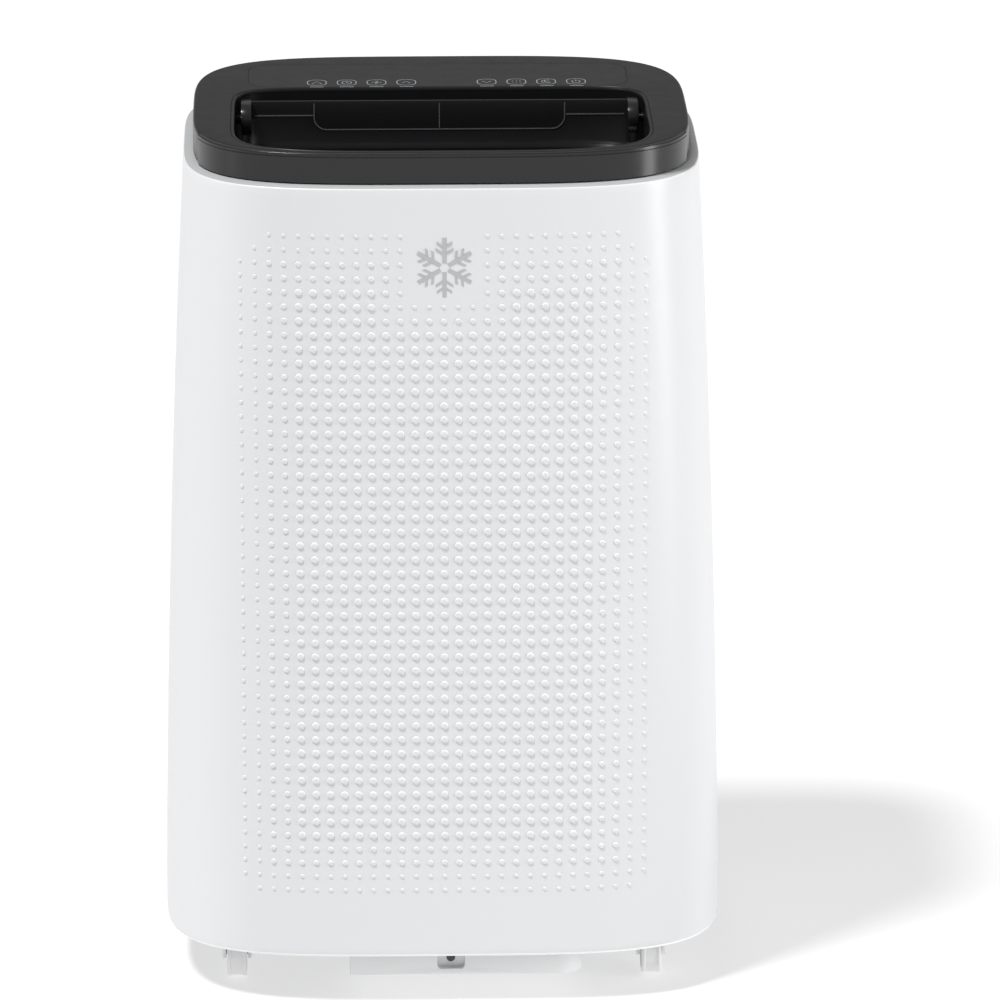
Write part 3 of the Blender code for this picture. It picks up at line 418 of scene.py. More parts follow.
def coil(node, word, tubes):
    low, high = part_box(node)
    y0, y1, z0, z1 = low.y + 0.003, high.y - 0.003, low.z + 0.002, high.z - 0.002
    inside = high.x - low.x - 2 * END_PLATE
    count = int(inside / FIN_PITCH)
    pitch = inside / (count + 1)
    fins = copies(f"{word}_fins", bar((0, y0, z0), (FIN, y1, z1)), coil_fins, count,
                  first=(low.x + END_PLATE + pitch, 0, 0), step=(pitch, 0, 0))
    settle(fins, "casing", "coil_aluminium", node)
    ends = copies(f"{word}_end_plates", bar((0, low.y, low.z), (END_PLATE, high.y, high.z)), coil_fins, 2,
                  first=(low.x, 0, 0), step=(high.x - low.x - END_PLATE, 0, 0))
    settle(ends, "casing", "coil_aluminium")
    gap = (z1 - z0) / tubes
    for k, share in enumerate((0.27, 0.73)):
        sides = [(TUBE_RADIUS, low.x - TUBE_END), (TUBE_RADIUS, high.x + TUBE_END)]
        tube = lathed(sides, (y0 + (y1 - y0) * share, 0), "X", 12)
        made = copies(f"{word}_tubes_{k + 1}", tube, copper, tubes, first=(0, 0, z0 + gap / 2),
                      step=(0, 0, gap))
        settle(made, "casing", "pipe_copper")


coil("evaporator_coil", "evaporator", 9)
coil("condenser_coil", "condenser", 12)


# Blowers: grey scroll housings, and black wheels with forward-curved blades between a back plate
# and a front ring, each pressed on the shaft of a steel motor.

blower_plastic = finish("blower_plastic", (0.30, 0.31, 0.33), 0.5, mottle=0.04, relief=0.05)
wheel_plastic = finish("wheel_plastic", (0.03, 0.03, 0.033), 0.45, mottle=0.08, relief=0.04)
motor_steel = finish("motor_steel", (0.58, 0.58, 0.60), 0.35, metallic=1.0, mottle=0.05, grain=300.0)


BLADE_DEPTH, BLADE_LEAN, BLADE_HALF, BLADE_IN, WHEEL_BORE = 0.010, 0.0030, 0.0005, 0.0012, 0.0045


def fan_wheel(word, blades):
    low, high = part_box(f"{word}_wheel")
    middle = (low + high) / 2
    radius = (high.x - low.x) / 2
    inner = radius - BLADE_DEPTH
    rows = []
    for i in range(5):
        share = i / 4
        reach = radius - BLADE_IN - (BLADE_DEPTH - BLADE_IN) * share
        lean = BLADE_LEAN * math.sin(share * math.pi / 2)
        x0, x1, y0, y1 = lean - BLADE_HALF, lean + BLADE_HALF, low.y + 0.002, high.y - 0.002
        rows.append([(x0, y0, reach), (x1, y0, reach), (x1, y1, reach), (x0, y1, reach)])
    made = copies(f"{word}_blades", loops(rows), wheel_plastic, blades, first=(middle.x, 0, middle.z),
                  turn=(0, 360 / blades, 0))
    settle(made, f"{word}_fan", "blower_wheel", f"{word}_wheel")
    back = [(WHEEL_BORE, 0.0005), (radius, 0.0005), (radius, 0.0030), (inner, 0.0030),
            (inner - 0.006, 0.0045), (0.016, 0.012), (0.012, 0.024), (WHEEL_BORE, 0.024)]
    ring = [(inner + 0.001, -0.0035), (radius, -0.0035), (radius, -0.0005), (inner + 0.001, -0.0005)]
    for label, profile, y in (("back_plate", back, low.y), ("front_ring", ring, high.y)):
        solid = lathed([(r, y + rise) for r, rise in profile], (middle.x, middle.z), "Y", 64, hollow=True)
        settle(plain_mesh(f"{word}_{label}", solid, wheel_plastic), f"{word}_fan", "blower_wheel")


for word, blades in (("evaporator", 40), ("condenser", 32)):
    fan_wheel(word, blades)
    dressed(f"{word}_scroll", f"{word}_housing", blower_plastic, bevel=0.0008)
    dressed(f"{word}_motor", f"{word}_drive", motor_steel, bevel=0.0008)


# Slinger, deck, exhaust duct and electric parts: the splash wheel over the pan, the partition, the
# round duct to the back, the wiring box with its run capacitor, and the flap's small motor.

box_plastic = finish("box_plastic", (0.50, 0.51, 0.53), 0.45, mottle=0.03, relief=0.04)
dressed("slinger_wheel", "slinger", blower_plastic, bevel=0.0003)
dressed("slinger_motor", "slinger_drive", motor_steel, bevel=0.0006)
dressed("mid_deck", "deck", pan_plastic, bevel=0.0005)
dressed("exhaust_duct", "warm_air_duct", blower_plastic, bevel=0.0006)
dressed("electric_box", "wiring_box", box_plastic, bevel=0.0010)
dressed("run_capacitor", "capacitor_can", motor_steel, bevel=0.0006)
dressed("flap_motor", "flap_drive", motor_steel, bevel=0.0006)


# Casing: a front panel and a rear housing of satin white ABS, injection moulded, joined down the
# sides. The walls lean in towards the top, and a small chamfered rim frames the dark cover. The
# rim's top is painted grey as painted shade under the cover, and the rounded bottom lip is
# painted near white as a painted highlight.

# The casing is widest at the bulge height, and narrows above it by a straight and a curved taper
WIDTH, DEPTH, BULGE_HEIGHT, PLAN_POWER = 0.440, 0.360, 0.075, 4.0
WIDTH_TAPER, WIDTH_CURVE, DEPTH_TAPER = 0.01429, 0.0322, 0.0060
CASING_BOTTOM, RIM_TOP = 0.040, 0.6596
WALL_FROM, WALL_TO, WALL_STEPS = 0.046, 0.650, 44
WALL, GAP, LIP, COLUMNS = 0.0025, 0.0003, 0.0022, 96
RIM_IN, RIM_DOWN, RIM_FLANGE, RIM_EDGE = 0.0055, 0.0028, 0.0105, 0.0014


def plan(half_x, half_y, z, start=0.0, end=360.0, steps=160, centre_y=0.0, rear_power=PLAN_POWER,
         rear_y=None):
    """The casing's plan at a height: a superellipse, whole or from one angle to another."""
    whole = abs(end - start - 360.0) < WELD
    points = []
    for i in range(steps if whole else steps + 1):
        angle = math.radians(start + (end - start) * i / steps)
        c, s = math.cos(angle), math.sin(angle)
        power = rear_power if s > 0 else PLAN_POWER
        depth = rear_y if rear_y and s > 0 else half_y
        x = half_x * math.copysign(abs(c) ** (2 / power), c)
        y = depth * math.copysign(abs(s) ** (2 / power), s) if abs(s) > 1e-9 else 0.0
        points.append((x, centre_y + y, z))
    return points


def half_sizes(z):
    """Half the casing's width and depth at a height."""
    rise = max(0.0, z - BULGE_HEIGHT)
    half_x = WIDTH / 2 - WIDTH_TAPER * rise - WIDTH_CURVE * rise * rise
    return half_x, DEPTH / 2 - DEPTH_TAPER * rise


def casing_section():
    """The wall as a closed loop of (inset, height)."""
    lip = arc((LIP, CASING_BOTTOM + LIP), LIP, -90, -180, 4)
    wall = [(0.0, WALL_FROM + (WALL_TO - WALL_FROM) * i / WALL_STEPS) for i in range(WALL_STEPS + 1)]
    edge = arc((RIM_EDGE, RIM_TOP - RIM_DOWN - 0.0008), RIM_EDGE, 180, 118, 4)
    top = [(RIM_IN - 0.0005, RIM_TOP - 0.0001), (RIM_IN + 0.0008, RIM_TOP)]
    under = [(RIM_FLANGE, RIM_TOP), (RIM_FLANGE, RIM_TOP - WALL), (WALL + 0.003, RIM_TOP - WALL)]
    inner = [(WALL, z) for z in (WALL_TO, 0.55, 0.45, 0.35, 0.25, 0.15, BULGE_HEIGHT, CASING_BOTTOM)]
    return lip + wall + edge + top + under + inner


def casing_half(name, start, end, shift):
    columns = []
    for inset, z in casing_section():
        half_x, half_y = half_sizes(z)
        columns.append(plan(half_x - inset, half_y - inset - GAP, z, start, end, COLUMNS, shift))
    made = plain_mesh(name, loops(list(zip(*columns))), shell_plastic, smooth_below=40.0)
    # Painted shade: the faces at the rim's top take a grey. Painted highlight: the faces of the bottom lip
    # take a near white.
    painted_bands = ((lip_painted_highlight, 0.0, CASING_BOTTOM + PAINTED_BAND), (rim_painted_shade, RIM_TOP - PAINTED_BAND, RIM_TOP + 1))
    for band_paint, low, high in painted_bands:
        made.data.materials.append(band_paint)
        for face in made.data.polygons:
            if low < face.center.z < high:
                face.material_index = len(made.data.materials) - 1
    return made


# Near white for the bottom lip is a painted highlight, and grey for the rim's top is painted shade.
lip_painted_highlight = finish("lip_painted_highlight", (0.93, 0.93, 0.93), 0.30, mottle=0.01, relief=0.01)
rim_painted_shade = finish("rim_painted_shade", (0.40, 0.405, 0.41), 0.45, mottle=0.02, relief=0.02)
PAINTED_BAND = 0.0021
front = casing_half("front_shell", 180.0, 360.0, -GAP)
settle(front, "casing", "casing_white", "front_panel")


BACK_FROM, BACK_TO, CLEARANCE = 0.12, 0.25, 0.0006


def rounded(u0, v0, u1, v1, r, steps):
    """The outline of a rectangle with round corners."""
    corners = ((u1 - r, v1 - r), (u0 + r, v1 - r), (u0 + r, v0 + r), (u1 - r, v0 + r))
    return [p for i, corner in enumerate(corners) for p in arc(corner, r, 90 * i, 90 * i + 90, steps)]


def rounded_cutter(low, high, radius, axis="Y"):
    """A block with round corners, seen along its axis."""
    (x0, y0, z0), (x1, y1, z1) = low, high
    (u0, u1), levels = ((x0, x1), (y0, y1)) if axis == "Y" else ((y0, y1), (x0, x1))
    outline = rounded(u0, z0, u1, z1, radius, 6)
    return loops([[on_axis(axis, level, u, z) for u, z in outline] for level in levels])


def hole_in_back(node):
    """A round cutter for a fitting in the back of the housing."""
    low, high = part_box(node)
    radius = (high.x - low.x) / 2 + CLEARANCE
    centre = ((low.x + high.x) / 2, (low.z + high.z) / 2)
    return lathed([(radius, BACK_FROM), (radius, BACK_TO)], centre, "Y", 64)


def window_in_back(node):
    low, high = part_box(node)
    return rounded_cutter((low.x - CLEARANCE, BACK_FROM, low.z - CLEARANCE),
                          (high.x + CLEARANCE, BACK_TO, high.z + CLEARANCE), 0.004)


def grip_cutter(side):
    low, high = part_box(f"handle_cup_{side}")
    x0, x1 = (-0.25, high.x - 0.012) if side == "left" else (low.x + 0.012, 0.25)
    wall = 0.0016
    return rounded_cutter((x0, low.y + wall, low.z + wall), (x1, high.y - wall, high.z - wall), 0.006, "X")


rear = casing_half("rear_shell", 0.0, 180.0, GAP)
carve(rear, window_in_back("upper_intake_grille"), window_in_back("lower_intake_grille"),
      grip_cutter("left"), grip_cutter("right"), hole_in_back("exhaust_collar"),
      hole_in_back("upper_drain_cap"), hole_in_back("lower_drain_plug"), hole_in_back("cord_gland"))
settle(rear, "casing", "casing_white", "rear_housing")
for side in ("left", "right"):
    dressed(f"handle_cup_{side}", f"grip_{side}", box_plastic, bevel=0.0015)


# Raised dots: a grid of low flat-topped dots moulded with the front panel. They are smaller towards
# the grid's edges, and stop short of its corners and of the emblem.

def dot_shape():
    """One dot of unit radius: a rounded side, a flat top, and a root that sinks into the panel."""
    profile = [(1.0, -0.10), (0.94, 0.12), (0.82, 0.25), (0.66, 0.31), (0.48, 0.32)]
    return plain_mesh("dot_shape", lathed(profile, (0, 0), "Z", 12), shell_plastic, smooth_below=80.0)


def dot_tree():
    tree = Tree("raised dots")
    panel, shape = tree.values("NodeSocketObject", "Panel", "Dot Shape")
    columns, rows = tree.values("NodeSocketInt", "Columns", "Rows")
    pitch_x, pitch_z, top, radius, middle_x, window_columns, window_rows = tree.values(
        "NodeSocketFloat", "Column Pitch", "Row Pitch", "Top Row Height", "Dot Radius", "Middle",
        "Emblem Half Columns", "Emblem Rows")
    material = tree.value("Material", "NodeSocketMaterial")
    last_column = tree.math("SUBTRACT", columns, 1.0)
    last_row = tree.math("SUBTRACT", rows, 1.0)
    size_x = tree.math("MULTIPLY", last_column, pitch_x)
    size_z = tree.math("MULTIPLY", last_row, pitch_z)
    grid = tree.add("GeometryNodeMeshGrid", Size_X=size_x, Size_Y=size_z, Vertices_X=columns, Vertices_Y=rows)
    index = tree.add("GeometryNodeInputIndex").outputs[0]
    column = tree.math("FLOOR", tree.math("DIVIDE", tree.math("ADD", index, 0.5), rows))
    row = tree.math("SUBTRACT", index, tree.math("MULTIPLY", column, rows))
    from_top = tree.math("SUBTRACT", last_row, row)
    from_side = tree.math("MINIMUM", column, tree.math("SUBTRACT", last_column, column))
    off_middle = tree.math("SUBTRACT", column, tree.math("DIVIDE", last_column, 2.0))
    from_middle = tree.math("ABSOLUTE", off_middle)
    # A ring number round the emblem's window: 0 is inside the window, 1 is its first ring
    window_x = tree.math("SUBTRACT", from_middle, window_columns)
    window_z = tree.math("ADD", tree.math("SUBTRACT", from_top, window_rows), 1.0)
    ring = tree.math("MAXIMUM", window_x, window_z)
    in_window = tree.math("LESS_THAN", ring, 0.5)
    top_corner = tree.math("LESS_THAN", tree.math("ADD", from_side, from_top), 1.5)
    low_corner = tree.math("LESS_THAN", tree.math("ADD", from_side, row), 0.5)
    gone = tree.math("MAXIMUM", in_window, top_corner, low_corner)
    edge = tree.math("MINIMUM", from_side, from_top, row, tree.math("MULTIPLY", ring, 1.34))
    small = tree.math("MULTIPLY", tree.math("LESS_THAN", edge, 1.5), 0.21)
    medium = tree.math("MULTIPLY", tree.math("LESS_THAN", edge, 3.5), 0.23)
    size = tree.math("SUBTRACT", 1.0, tree.math("ADD", small, medium))
    scale = tree.math("MULTIPLY", size, radius)
    sized = tree.add("GeometryNodeStoreNamedAttribute", {"data_type": "FLOAT", "domain": "POINT"},
                     Geometry=grid.outputs["Mesh"], Name="dot_scale", Value=scale)
    kept = tree.add("GeometryNodeDeleteGeometry", {"domain": "POINT"}, Geometry=sized.outputs[0],
                    Selection=gone)
    middle_z = tree.math("SUBTRACT", top, tree.math("DIVIDE", size_z, 2.0))
    place = tree.add("ShaderNodeCombineXYZ", X=middle_x, Y=-0.4, Z=middle_z)
    upright = tree.add("GeometryNodeTransform", Geometry=kept.outputs[0], Translation=place.outputs[0],
                       Rotation=(math.pi / 2, 0, 0))
    target = tree.add("GeometryNodeObjectInfo", Object=panel)
    hit = tree.add("GeometryNodeRaycast", Target_Geometry=target.outputs["Geometry"],
                   Ray_Direction=(0, 1, 0), Ray_Length=1.0)
    leaning = tree.add("GeometryNodeStoreNamedAttribute", {"data_type": "FLOAT_VECTOR", "domain": "POINT"},
                       Geometry=upright.outputs[0], Name="dot_lean", Value=hit.outputs["Hit Normal"])
    landed = tree.add("GeometryNodeSetPosition", Geometry=leaning.outputs[0],
                      Position=hit.outputs["Hit Position"])
    lean = tree.add("GeometryNodeInputNamedAttribute", {"data_type": "FLOAT_VECTOR"}, Name="dot_lean")
    turn = tree.add("FunctionNodeAlignRotationToVector", {"axis": "Z"}, Vector=lean.outputs[0])
    wide = tree.add("GeometryNodeInputNamedAttribute", {"data_type": "FLOAT"}, Name="dot_scale")
    dot = tree.add("GeometryNodeObjectInfo", Object=shape)
    placed = tree.add("GeometryNodeInstanceOnPoints", Points=landed.outputs[0],
                      Instance=dot.outputs["Geometry"], Rotation=turn.outputs[0], Scale=wide.outputs[0])
    tree.close(placed.outputs[0], material)
    return tree


dot = dot_shape()
dots = grown("front_dots", dot_tree(), {
    "Panel": front, "Dot Shape": dot, "Columns": 29, "Rows": 48, "Column Pitch": 0.01113,
    "Row Pitch": 0.01117, "Top Row Height": 0.6200, "Dot Radius": 0.0031, "Middle": -0.0006,
    "Emblem Half Columns": 2.0, "Emblem Rows": 5.0, "Material": shell_plastic}, shell_plastic)
bpy.data.objects.remove(dot)
settle(dots, "casing", "casing_white")


# Emblem: a plain six-armed snowflake, the general sign for cooling, inlaid in grey above the dots.

emblem_grey = finish("emblem_grey", (0.44, 0.445, 0.45), 0.45, mottle=0.02, relief=0.03)
EMBLEM_HEIGHT, EMBLEM_RADIUS, EMBLEM_LINE, TWIG = 0.5955, 0.0235, 0.0016, 0.0024


def emblem():
    front_y = -half_sizes(EMBLEM_HEIGHT)[1]
    y0, y1 = front_y - 0.00025, front_y + 0.0012
    arm = bar((-EMBLEM_LINE, y0, 0.0035), (EMBLEM_LINE, y1, EMBLEM_RADIUS))
    for side in (-1, 1):
        for start, reach in ((0.0100, 0.0060), (0.0155, 0.0050)):
            ends, tip = [], (side * (EMBLEM_LINE + reach * 0.85), start + reach * 0.55)
            for x, z in ((side * EMBLEM_LINE * 1.05, start), tip):
                corners = ((x, y0, z), (x, y1, z), (x, y1, z + TWIG), (x, y0, z + TWIG))
                ends.append([arm.verts.new(corner) for corner in corners])
            for i in range(4):
                arm.faces.new((ends[0][i], ends[0][(i + 1) % 4], ends[1][(i + 1) % 4], ends[1][i]))
            arm.faces.new(ends[0])
            arm.faces.new(ends[1])
    made = copies("emblem", arm, emblem_grey, 6, first=(0, 0, EMBLEM_HEIGHT), turn=(0, 60, 0))
    settle(made, "casing", "casing_white")


emblem()


# Intake grilles and filters: white frames with slats that lie flush in the rear housing and pull
# out, with woven nylon nets behind them.

grille_plastic = finish("grille_plastic", shell_white, 0.42, mottle=0.01, relief=0.02)
net_nylon = finish("net_nylon", (0.10, 0.11, 0.12), 0.7, mottle=0.1, grain=900.0, relief=0.3)
FRAME_EDGE, FRAME_FACE, FRAME_DEPTH, RIB_HALF = 0.008, -0.0008, 0.0040, 0.0012
SLAT_PITCH, SLAT_HALF, SLAT_LENGTHS = 0.0095, 0.0026, 30
NET_PITCH, THREAD, NET_EDGE = 0.0030, 0.0003, 0.002


def follow_casing(tree, geometry):
    """Adds the nodes that push flat copies back onto the curve of the casing."""
    real = tree.add("GeometryNodeRealizeInstances", Geometry=geometry).outputs[0]
    place = tree.add("ShaderNodeSeparateXYZ", Vector=tree.add("GeometryNodeInputPosition").outputs[0])
    rise = tree.math("SUBTRACT", place.outputs["Z"], BULGE_HEIGHT)
    curve = tree.math("MULTIPLY", rise, rise, WIDTH_CURVE)
    taper = tree.math("ADD", tree.math("MULTIPLY", rise, WIDTH_TAPER), curve)
    half_x = tree.math("SUBTRACT", WIDTH / 2, taper)
    half_y = tree.math("SUBTRACT", DEPTH / 2, tree.math("MULTIPLY", rise, DEPTH_TAPER))
    across = tree.math("DIVIDE", tree.math("ABSOLUTE", place.outputs["X"]), half_x)
    left = tree.math("SUBTRACT", 1.0, tree.math("POWER", across, PLAN_POWER))
    back = tree.math("MULTIPLY", half_y, tree.math("POWER", left, 1 / PLAN_POWER))
    moved = tree.add("ShaderNodeCombineXYZ", Y=back)
    return tree.add("GeometryNodeSetPosition", Geometry=real, Offset=moved.outputs[0]).outputs[0]


row_on_casing = row_tree("copies on the casing", follow_casing)


def grille(level, ribs):
    """Frame bars, slats and ribs are made flat, and then follow the curve of the casing's back."""
    low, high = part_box(f"{level}_intake_grille")
    x0, x1, z0, z1 = low.x, high.x, low.z, high.z
    back, wide, tall = FRAME_FACE - FRAME_DEPTH, x1 - x0 - FRAME_EDGE, z1 - z0 - FRAME_EDGE

    def fit(label, shape, count, first, step, *nodes, material=grille_plastic, slot="grille_white"):
        made = copies(f"{level}_{label}", shape, material, count, first, step, tree=row_on_casing)
        settle(made, f"{level}_filter", slot, *nodes)

    rail = bar((x0, back, 0), (x1, FRAME_FACE, FRAME_EDGE), 30)
    fit("grille_rails", rail, 2, (0, 0, z0), (0, 0, tall), f"{level}_intake_grille")
    inset = FRAME_EDGE - 0.001
    post = bar((0, back, z0 + inset), (FRAME_EDGE, FRAME_FACE - 0.0001, z1 - inset), 4)
    fit("grille_posts", post, 2, (x0, 0, 0), (wide, 0, 0))
    rib = bar((-RIB_HALF, back, z0 + 0.001), (RIB_HALF, FRAME_FACE - 0.0002, z1 - 0.001), 1)
    step = wide / (ribs + 1)
    fit("grille_ribs", rib, ribs, (x0 + step + FRAME_EDGE / 2, 0, 0), (step, 0, 0))
    count = int((tall - FRAME_EDGE) / SLAT_PITCH)
    gap = (tall - FRAME_EDGE) / count
    rows = []
    for i in range(SLAT_LENGTHS + 1):
        x = x0 + FRAME_EDGE / 2 + wide * i / SLAT_LENGTHS
        outer, inner = FRAME_FACE - 0.0004, FRAME_FACE - 0.0036
        rows.append([(x, outer, 0.0), (x, outer, SLAT_HALF), (x, inner, SLAT_HALF * 2), (x, inner, 0.0028)])
    fit("grille_slats", loops(rows), count - 1, (0, 0, z0 + FRAME_EDGE + gap - 0.0024), (0, 0, gap))
    net = {"material": net_nylon, "slot": "filter_net"}
    x0, x1, z0, z1 = x0 + NET_EDGE, x1 - NET_EDGE, z0 + NET_EDGE, z1 - NET_EDGE
    weft = bar((x0, -0.0060, -THREAD), (x1, -0.0054, THREAD), 30)
    fit("net_weft", weft, int((z1 - z0) / NET_PITCH), (0, 0, z0), (0, 0, NET_PITCH),
        f"{level}_filter_mesh", **net)
    warp = bar((-THREAD, -0.0064, z0), (THREAD, -0.0058, z1))
    fit("net_warp", warp, int((x1 - x0) / NET_PITCH), (x0, 0, 0), (NET_PITCH, 0, 0), **net)


grille("upper", 3)
grille("lower", 1)


# Rear fittings: a grey collar that takes the exhaust hose, rubber caps on the two drains, a ribbed
# rubber gland where the supply cord comes out, and steel screws that hold the housing.

collar_plastic = finish("collar_plastic", (0.45, 0.46, 0.48), 0.42, mottle=0.03, relief=0.03)


def fitting(node):
    """The middle of a round fitting in the back, its radius and its two ends along Y."""
    low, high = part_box(node)
    return ((low.x + high.x) / 2, (low.z + high.z) / 2), (high.x - low.x) / 2, low.y, high.y


def collar():
    centre, radius, front_end, back = fitting("exhaust_collar")
    inner, round_edge = 0.061, 0.0012
    profile = [(inner, front_end), (radius - 0.002, front_end), (radius - 0.002, back - 0.010),
               (radius, back - 0.009)]
    profile += arc((radius - round_edge, back - round_edge), round_edge, 0, 90, 4)
    profile += arc((inner + round_edge, back - round_edge), round_edge, 90, 180, 4)
    made = plain_mesh("hose_collar", lathed(profile, centre, "Y", 96, hollow=True), collar_plastic)
    settle(made, "casing", "box_grey", "exhaust_collar")
    lug = bar((-0.009, back - 0.012, inner - 0.0025), (0.009, back - 0.008, inner + 0.0010), 4)
    lugs = copies("collar_lugs", lug, collar_plastic, 4, first=(centre[0], 0, centre[1]), turn=(0, 90, 0))
    settle(lugs, "casing", "box_grey")


def drain_cap(node, name):
    centre, radius, front_end, back = fitting(node)
    plug, head = radius * 0.55, back - 0.012
    profile = [(TIP, front_end), (plug - 0.001, front_end), (plug, front_end + 0.001), (plug, head)]
    profile += [(radius, head), (radius, back - 0.0012), (radius - 0.0012, back), (plug, back),
                (radius * 0.50, back - 0.0008), (TIP, back - 0.0008)]
    cap = plain_mesh(name, lathed(profile, centre, "Y", 40), rubber)
    settle(cap, body_of_node[node], "rubber_black", node)
    ridge = bar((-0.0005, back - 0.0014, radius * 0.58), (0.0005, back + 0.0003, radius * 0.92))
    ridges = copies(f"{name}_ridges", ridge, rubber, 20, first=(centre[0], 0, centre[1]), turn=(0, 18, 0))
    settle(ridges, body_of_node[node], "rubber_black")


def gland():
    centre, radius, front_end, back = fitting("cord_gland")
    bore = 0.0035
    profile = [(bore, front_end), (radius, front_end), (radius, back - 0.0032),
               (radius - 0.0010, back - 0.0024)]
    for i in range(3):
        y, neck = back - 0.0022 + i * 0.0007, radius - 0.0030 - i * 0.0012
        profile += [(neck, y), (neck, y + 0.0004)]
    profile.append((bore, back))
    made = plain_mesh("cord_exit", lathed(profile, centre, "Y", 40, hollow=True), rubber)
    settle(made, "casing", "rubber_black", "cord_gland")


def casing_back(x, z):
    half_x, half_y = half_sizes(z)
    return half_y * (1 - (abs(x) / half_x) ** PLAN_POWER) ** (1 / PLAN_POWER)


collar()
drain_cap("upper_drain_cap", "upper_drain")
drain_cap("lower_drain_plug", "lower_drain")
gland()
for i, (x, z) in enumerate(((0.1720, 0.150), (0.1720, 0.380), (0.1600, 0.635))):
    head = screw_head(0.0038)
    bmesh.ops.scale(head, verts=head.verts, vec=(1, -1, 1))
    pair = copies(f"housing_screws_{i + 1}", head, bright_steel, 2, step=(2 * x, 0, 0),
                  first=(-x, casing_back(x, z) - 0.0002, z))
    settle(pair, "casing", "axle_steel")


# Outlet well, duct and guide vanes: black polypropylene, clipped under the cover. Six vanes stand in
# the duct on moulded pins, and one bar joins them so that they steer together.

outlet_black = finish("outlet_black", (0.007, 0.007, 0.008), 0.30, mottle=0.08, relief=0.03, specular=0.35)
OUTLET_HALF, OUTLET_CENTRE, OUTLET_REAR, OUTLET_POWER = (0.1605, 0.097), -0.0645, 0.1195, 8.0
COVER_HALF, COVER_BOTTOM, COVER_TOP, COVER_FILLET = (0.1930, 0.1705), 0.660, 0.684, 0.003


def outlet_ring(grow, z):
    ox, oy = OUTLET_HALF
    return plan(ox + grow, oy + grow, z, centre_y=OUTLET_CENTRE, rear_power=OUTLET_POWER,
                rear_y=OUTLET_REAR + grow)


PIVOT, PIVOT_BORE = (0.012, 0.669), 0.0042
well_low, well_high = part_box("outlet_well")
duct_low, duct_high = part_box("outlet_duct")
throat_x, throat_front, throat_back = duct_high.x - WALL - 0.003, duct_low.y + WALL, duct_high.y - WALL
floor_z = well_low.z + WALL
well = plain_mesh("well", loops([outlet_ring(grow, z) for grow, z in (
    (-0.0030, floor_z), (-0.0012, floor_z + 0.0008), (0.0, floor_z + 0.0030), (0.0, well_high.z),
    (WALL, well_high.z), (WALL, well_low.z))]), outlet_black)
carve(well, bar((-throat_x, throat_front, 0.62), (throat_x, throat_back, 0.645)),
      *(lathed([(PIVOT_BORE, low), (PIVOT_BORE, low + 0.025)], PIVOT, "X", 32) for low in (-0.175, 0.150)))
settle(well, "casing", "outlet_black", "outlet_well")
dressed("outlet_duct", "duct", outlet_black, bevel=0.0005)
dressed("vane_link_bar", "link_bar", outlet_black, bevel=0.0004)
for i in range(6):
    dressed(f"guide_vane_{i + 1}", f"vane_{i + 1}_blade", outlet_black, bevel=0.0004)
web = bar((-0.0012, throat_front - 0.020, 0), (0.0012, throat_front - 0.0015, 0.004))
webs = copies("well_webs", web, outlet_black, 9, first=(-0.096, 0, floor_z - 0.0005), step=(0.024, 0, 0))
settle(webs, "casing", "outlet_black")


# Top cover: one dark satin moulding that drops over the rim, with a rounded edge and a flat top.
# A thin lighter strip lies flush along the rear of the outlet cut through it, as a painted
# highlight, and a shallow pocket takes the control overlay.

cover_plastic = finish("cover_plastic", (0.0115, 0.0115, 0.0122), 0.33, mottle=0.03, grain=1300.0,
                       relief=0.02, specular=0.20)


def overlay_outline(grow=0.0):
    return rounded(-0.150 - grow, 0.0590 - grow, 0.150 + grow, 0.138 + grow, 0.020, 10)


def ribbon(bm, points, width, place, closed=False):
    """Adds a thin flat strip along 2D points; place(u, v, top) gives its two faces' points."""
    count = len(points)
    sides = []
    for i, (u, v) in enumerate(points):
        before = points[i - 1] if (i or closed) else points[i]
        after = points[(i + 1) % count] if (i < count - 1 or closed) else points[i]
        du, dv = after[0] - before[0], after[1] - before[1]
        size = math.hypot(du, dv) or 1.0
        nu, nv = -dv / size * width / 2, du / size * width / 2
        sides.append([bm.verts.new(place(u + s * nu, v + s * nv, top))
                      for s, top in ((-1, 0), (1, 0), (1, 1), (-1, 1))])
    pairs = list(zip(sides, sides[1:])) + ([(sides[-1], sides[0])] if closed else [])
    for first, second in pairs:
        for i in range(4):
            bm.faces.new((first[i], first[(i + 1) % 4], second[(i + 1) % 4], second[i]))
    if not closed:
        bm.faces.new(sides[0])
        bm.faces.new(sides[-1])


def slab(outline, low, high):
    return loops([[(x, y, z) for x, y in outline] for z in (low, high)])


